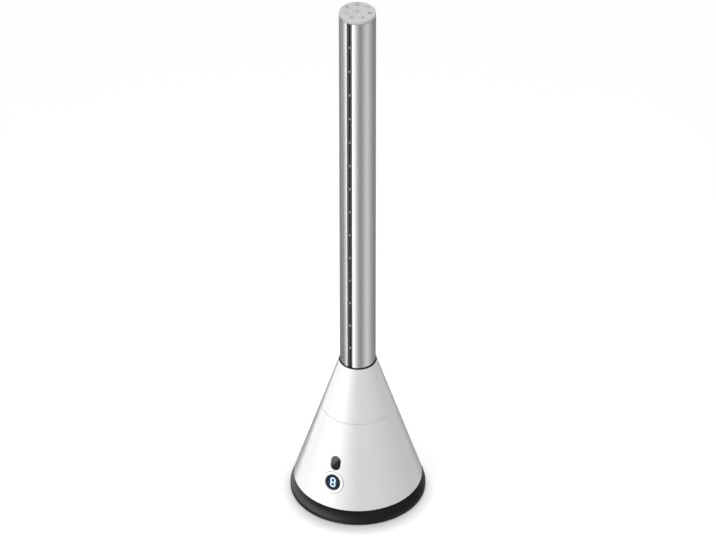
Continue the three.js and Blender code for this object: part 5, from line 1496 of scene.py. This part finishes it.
@dataclass
class Studio:
    """White room: pale floor, soft lamps, and the bright and dark bands that the metal mirrors."""

    floor_radius: float = 4.0
    floor_color: Color = (0.8, 0.8, 0.8)
    floor_light: float = 0.39        # what the camera sees added to the lit floor
    floor_far: float = 0.35          # and more of it where the lamps fall off
    far_start: float = 1.1           # radius where that begins
    painted_shadow_shift: float = 20 * MM    # the added light fades in round a spot this far towards the camera, and its fading paints a shadow round the base
    painted_shadow_start: float = 94 * MM
    painted_shadow_end: float = 136 * MM
    ambient: float = 0.45
    camera: Vector = field(default_factory=lambda: Vector((3.147, -6.312, 5.572)))
    aim: Vector = field(default_factory=lambda: Vector((0.0004, 0.0002, 0.449)))
    lens: float = 264.8
    sensor: float = 36
    sight: float = 50                # how far the camera sees
    roll: float = math.radians(-0.07)
    low_bands: tuple[tuple[float, float], ...] = (
        (-180, 0.26), (-150, 0.18), (-118, 0.12), (-99, 0.10), (-88, 0.14), (-79, 0.42), (-69, 1.20),
        (-40, 1.50), (-31, 1.45), (-22, 1.06), (-11, 0.72), (2, 0.40), (14, 0.24), (27, 0.31), (40, 0.52),
        (54, 0.74), (66, 0.78), (80, 0.60), (101, 0.36), (125, 0.26), (152, 0.26), (180, 0.26),
    )
    high_bands: tuple[tuple[float, float], ...] = (
        (-180, 0.30), (-150, 1.5), (-124, 2.3), (-106, 2.9), (-92, 4.0), (-78, 5.4), (-46, 5.2),
        (-34, 3.7), (-24, 2.5), (-14, 1.4), (-4, 0.62), (6, 0.38), (20, 0.34), (36, 0.30), (52, 0.12),
        (70, 0.03), (100, 0.03), (122, 0.35), (150, 0.5), (180, 0.30),
    )
    ceiling: float = 0.05            # what mirrors see above the high bands
    horizon: tuple[float, float] = (-0.46, -0.38)   # sine of the elevation where low bands give way to high
    cornice: tuple[float, float] = (0.09, 0.26)     # and high bands to the ceiling
    lamps: tuple[Softbox, ...] = (
        Softbox("key_softbox", -42, 22, 2.4, 1.1, 1.9, 9.3),
        Softbox("fill_softbox", 30, 18, 3.0, 1.0, 2.0, 12),
        Softbox("top_softbox", 0, 88, 2.6, 2.4, 2.4, 36),
    )

    def build_floor(self) -> None:
        """Pale floor disc. Only the camera sees its own light, so it keeps the fan's real shadow, and that
        light fades out round the base as a painted shadow.
        """
        shape = bmesh.new()
        bmesh.ops.create_circle(shape, cap_ends=True, segments=MIDDLE_STEPS, radius=self.floor_radius)
        mesh = bpy.data.meshes.new("floor")
        shape.to_mesh(mesh)
        shape.free()
        material = bpy.data.materials.new("floor")
        material.use_nodes = True
        shader = Shader(material.node_tree)
        across, along, _ = shader.axes()
        aside = across - self.painted_shadow_shift * math.sin(CAMERA_TURN)
        ahead = along + self.painted_shadow_shift * math.cos(CAMERA_TURN)
        radius = shader.math("SQRT", aside * aside + ahead * ahead)
        # near fades the camera's added light out round the base: a painted shadow
        near = radius.step(self.painted_shadow_start, self.painted_shadow_end) * self.floor_light
        far = radius.step(self.far_start, self.floor_radius) * self.floor_far
        glow = shader.number("LightPath", {}, {}, "Is Camera Ray") * (near + far)
        shader.surface({
            "Base Color": self.floor_color,
            "Roughness": 1.0,
            "Specular IOR Level": 0.0,
            "Emission Color": glow,
            "Emission Strength": 1.0,
        })
        mesh.materials.append(material)
        floor = put("floor", mesh)
        floor.visible_glossy = False

    def build_world(self) -> None:
        """White for the camera, bands by compass direction for mirrors, and an even light for the rest."""
        world = bpy.data.worlds.new("room")
        world.use_nodes = True
        bpy.context.scene.world = world
        shader = Shader(world.node_tree)
        across, along, up = shader.axes(shader.add("TexCoord", {}, {}).outputs["Generated"])
        turn = shader.math("ARCTAN2", across, along * -1.0) - CAMERA_TURN
        share = shader.math("FRACT", turn / (2 * math.pi) + 1.5)
        low, high = (self.band(shader, share, stops) for stops in (self.low_bands, self.high_bands))
        rising, over = up.step(*self.horizon), up.step(*self.cornice)
        mirrored = (low * (1 - rising) + high * rising) * (1 - over) + over * self.ceiling
        path = shader.add("LightPath", {}, {}).outputs
        camera, glossy, clear = (Value(shader, path[f"Is {kind} Ray"]) for kind in
                                 ("Camera", "Glossy", "Transmission"))
        seen = shader.mix(glossy.most(clear), (self.ambient,) * 3, mirrored.socket)
        tone = shader.mix(camera, seen, (1.0, 1.0, 1.0))
        light = shader.add("Background", {}, {"Color": tone, "Strength": 1.0})
        shader.add("OutputWorld", {}, {"Surface": light.outputs[0]})

    @staticmethod
    def band(shader: Shader, share: Value, stops: Sequence[Point]) -> Value:
        """Brightness round the compass.

        Args:
            shader: Where the nodes go.
            share: Place round the compass, from 0 to 1.
            stops: Angle in degrees from the camera, and brightness.

        Returns:
            The brightness.
        """
        peak = max(tone for _, tone in stops)
        ramp = [((angle + 180) / 360, (tone / peak,) * 3) for angle, tone in stops]
        return shader.number("ValToRGB", {"stops": ramp}, {0: share}) * peak

    def build_camera(self) -> None:
        """Camera at the photograph's viewing angle."""
        data = bpy.data.cameras.new("camera")
        data.sensor_width = self.sensor
        data.lens = self.lens
        data.clip_end = self.sight
        camera = put("camera", data)
        camera.location = self.camera
        facing = (self.camera - self.aim).to_track_quat("Z", "Y").to_matrix().to_4x4()
        camera.rotation_euler = (facing @ Matrix.Rotation(self.roll, 4, "Z")).to_euler()
        bpy.context.scene.camera = camera

    def build(self) -> None:
        """Sets up the room."""
        bpy.context.scene.view_settings.view_transform = "Standard"
        self.build_floor()
        self.build_world()
        self.build_camera()
        for lamp in self.lamps:
            lamp.build()


def main() -> None:
    """Builds the fan and the room."""
    Studio().build()
    panel = FrontPanel()
    BaseUnit().build()
    Cone().build(panel)
    panel.build()
    Column().build()
    Top().build()
    Inside().build()


if __name__ == "__main__":
    main()
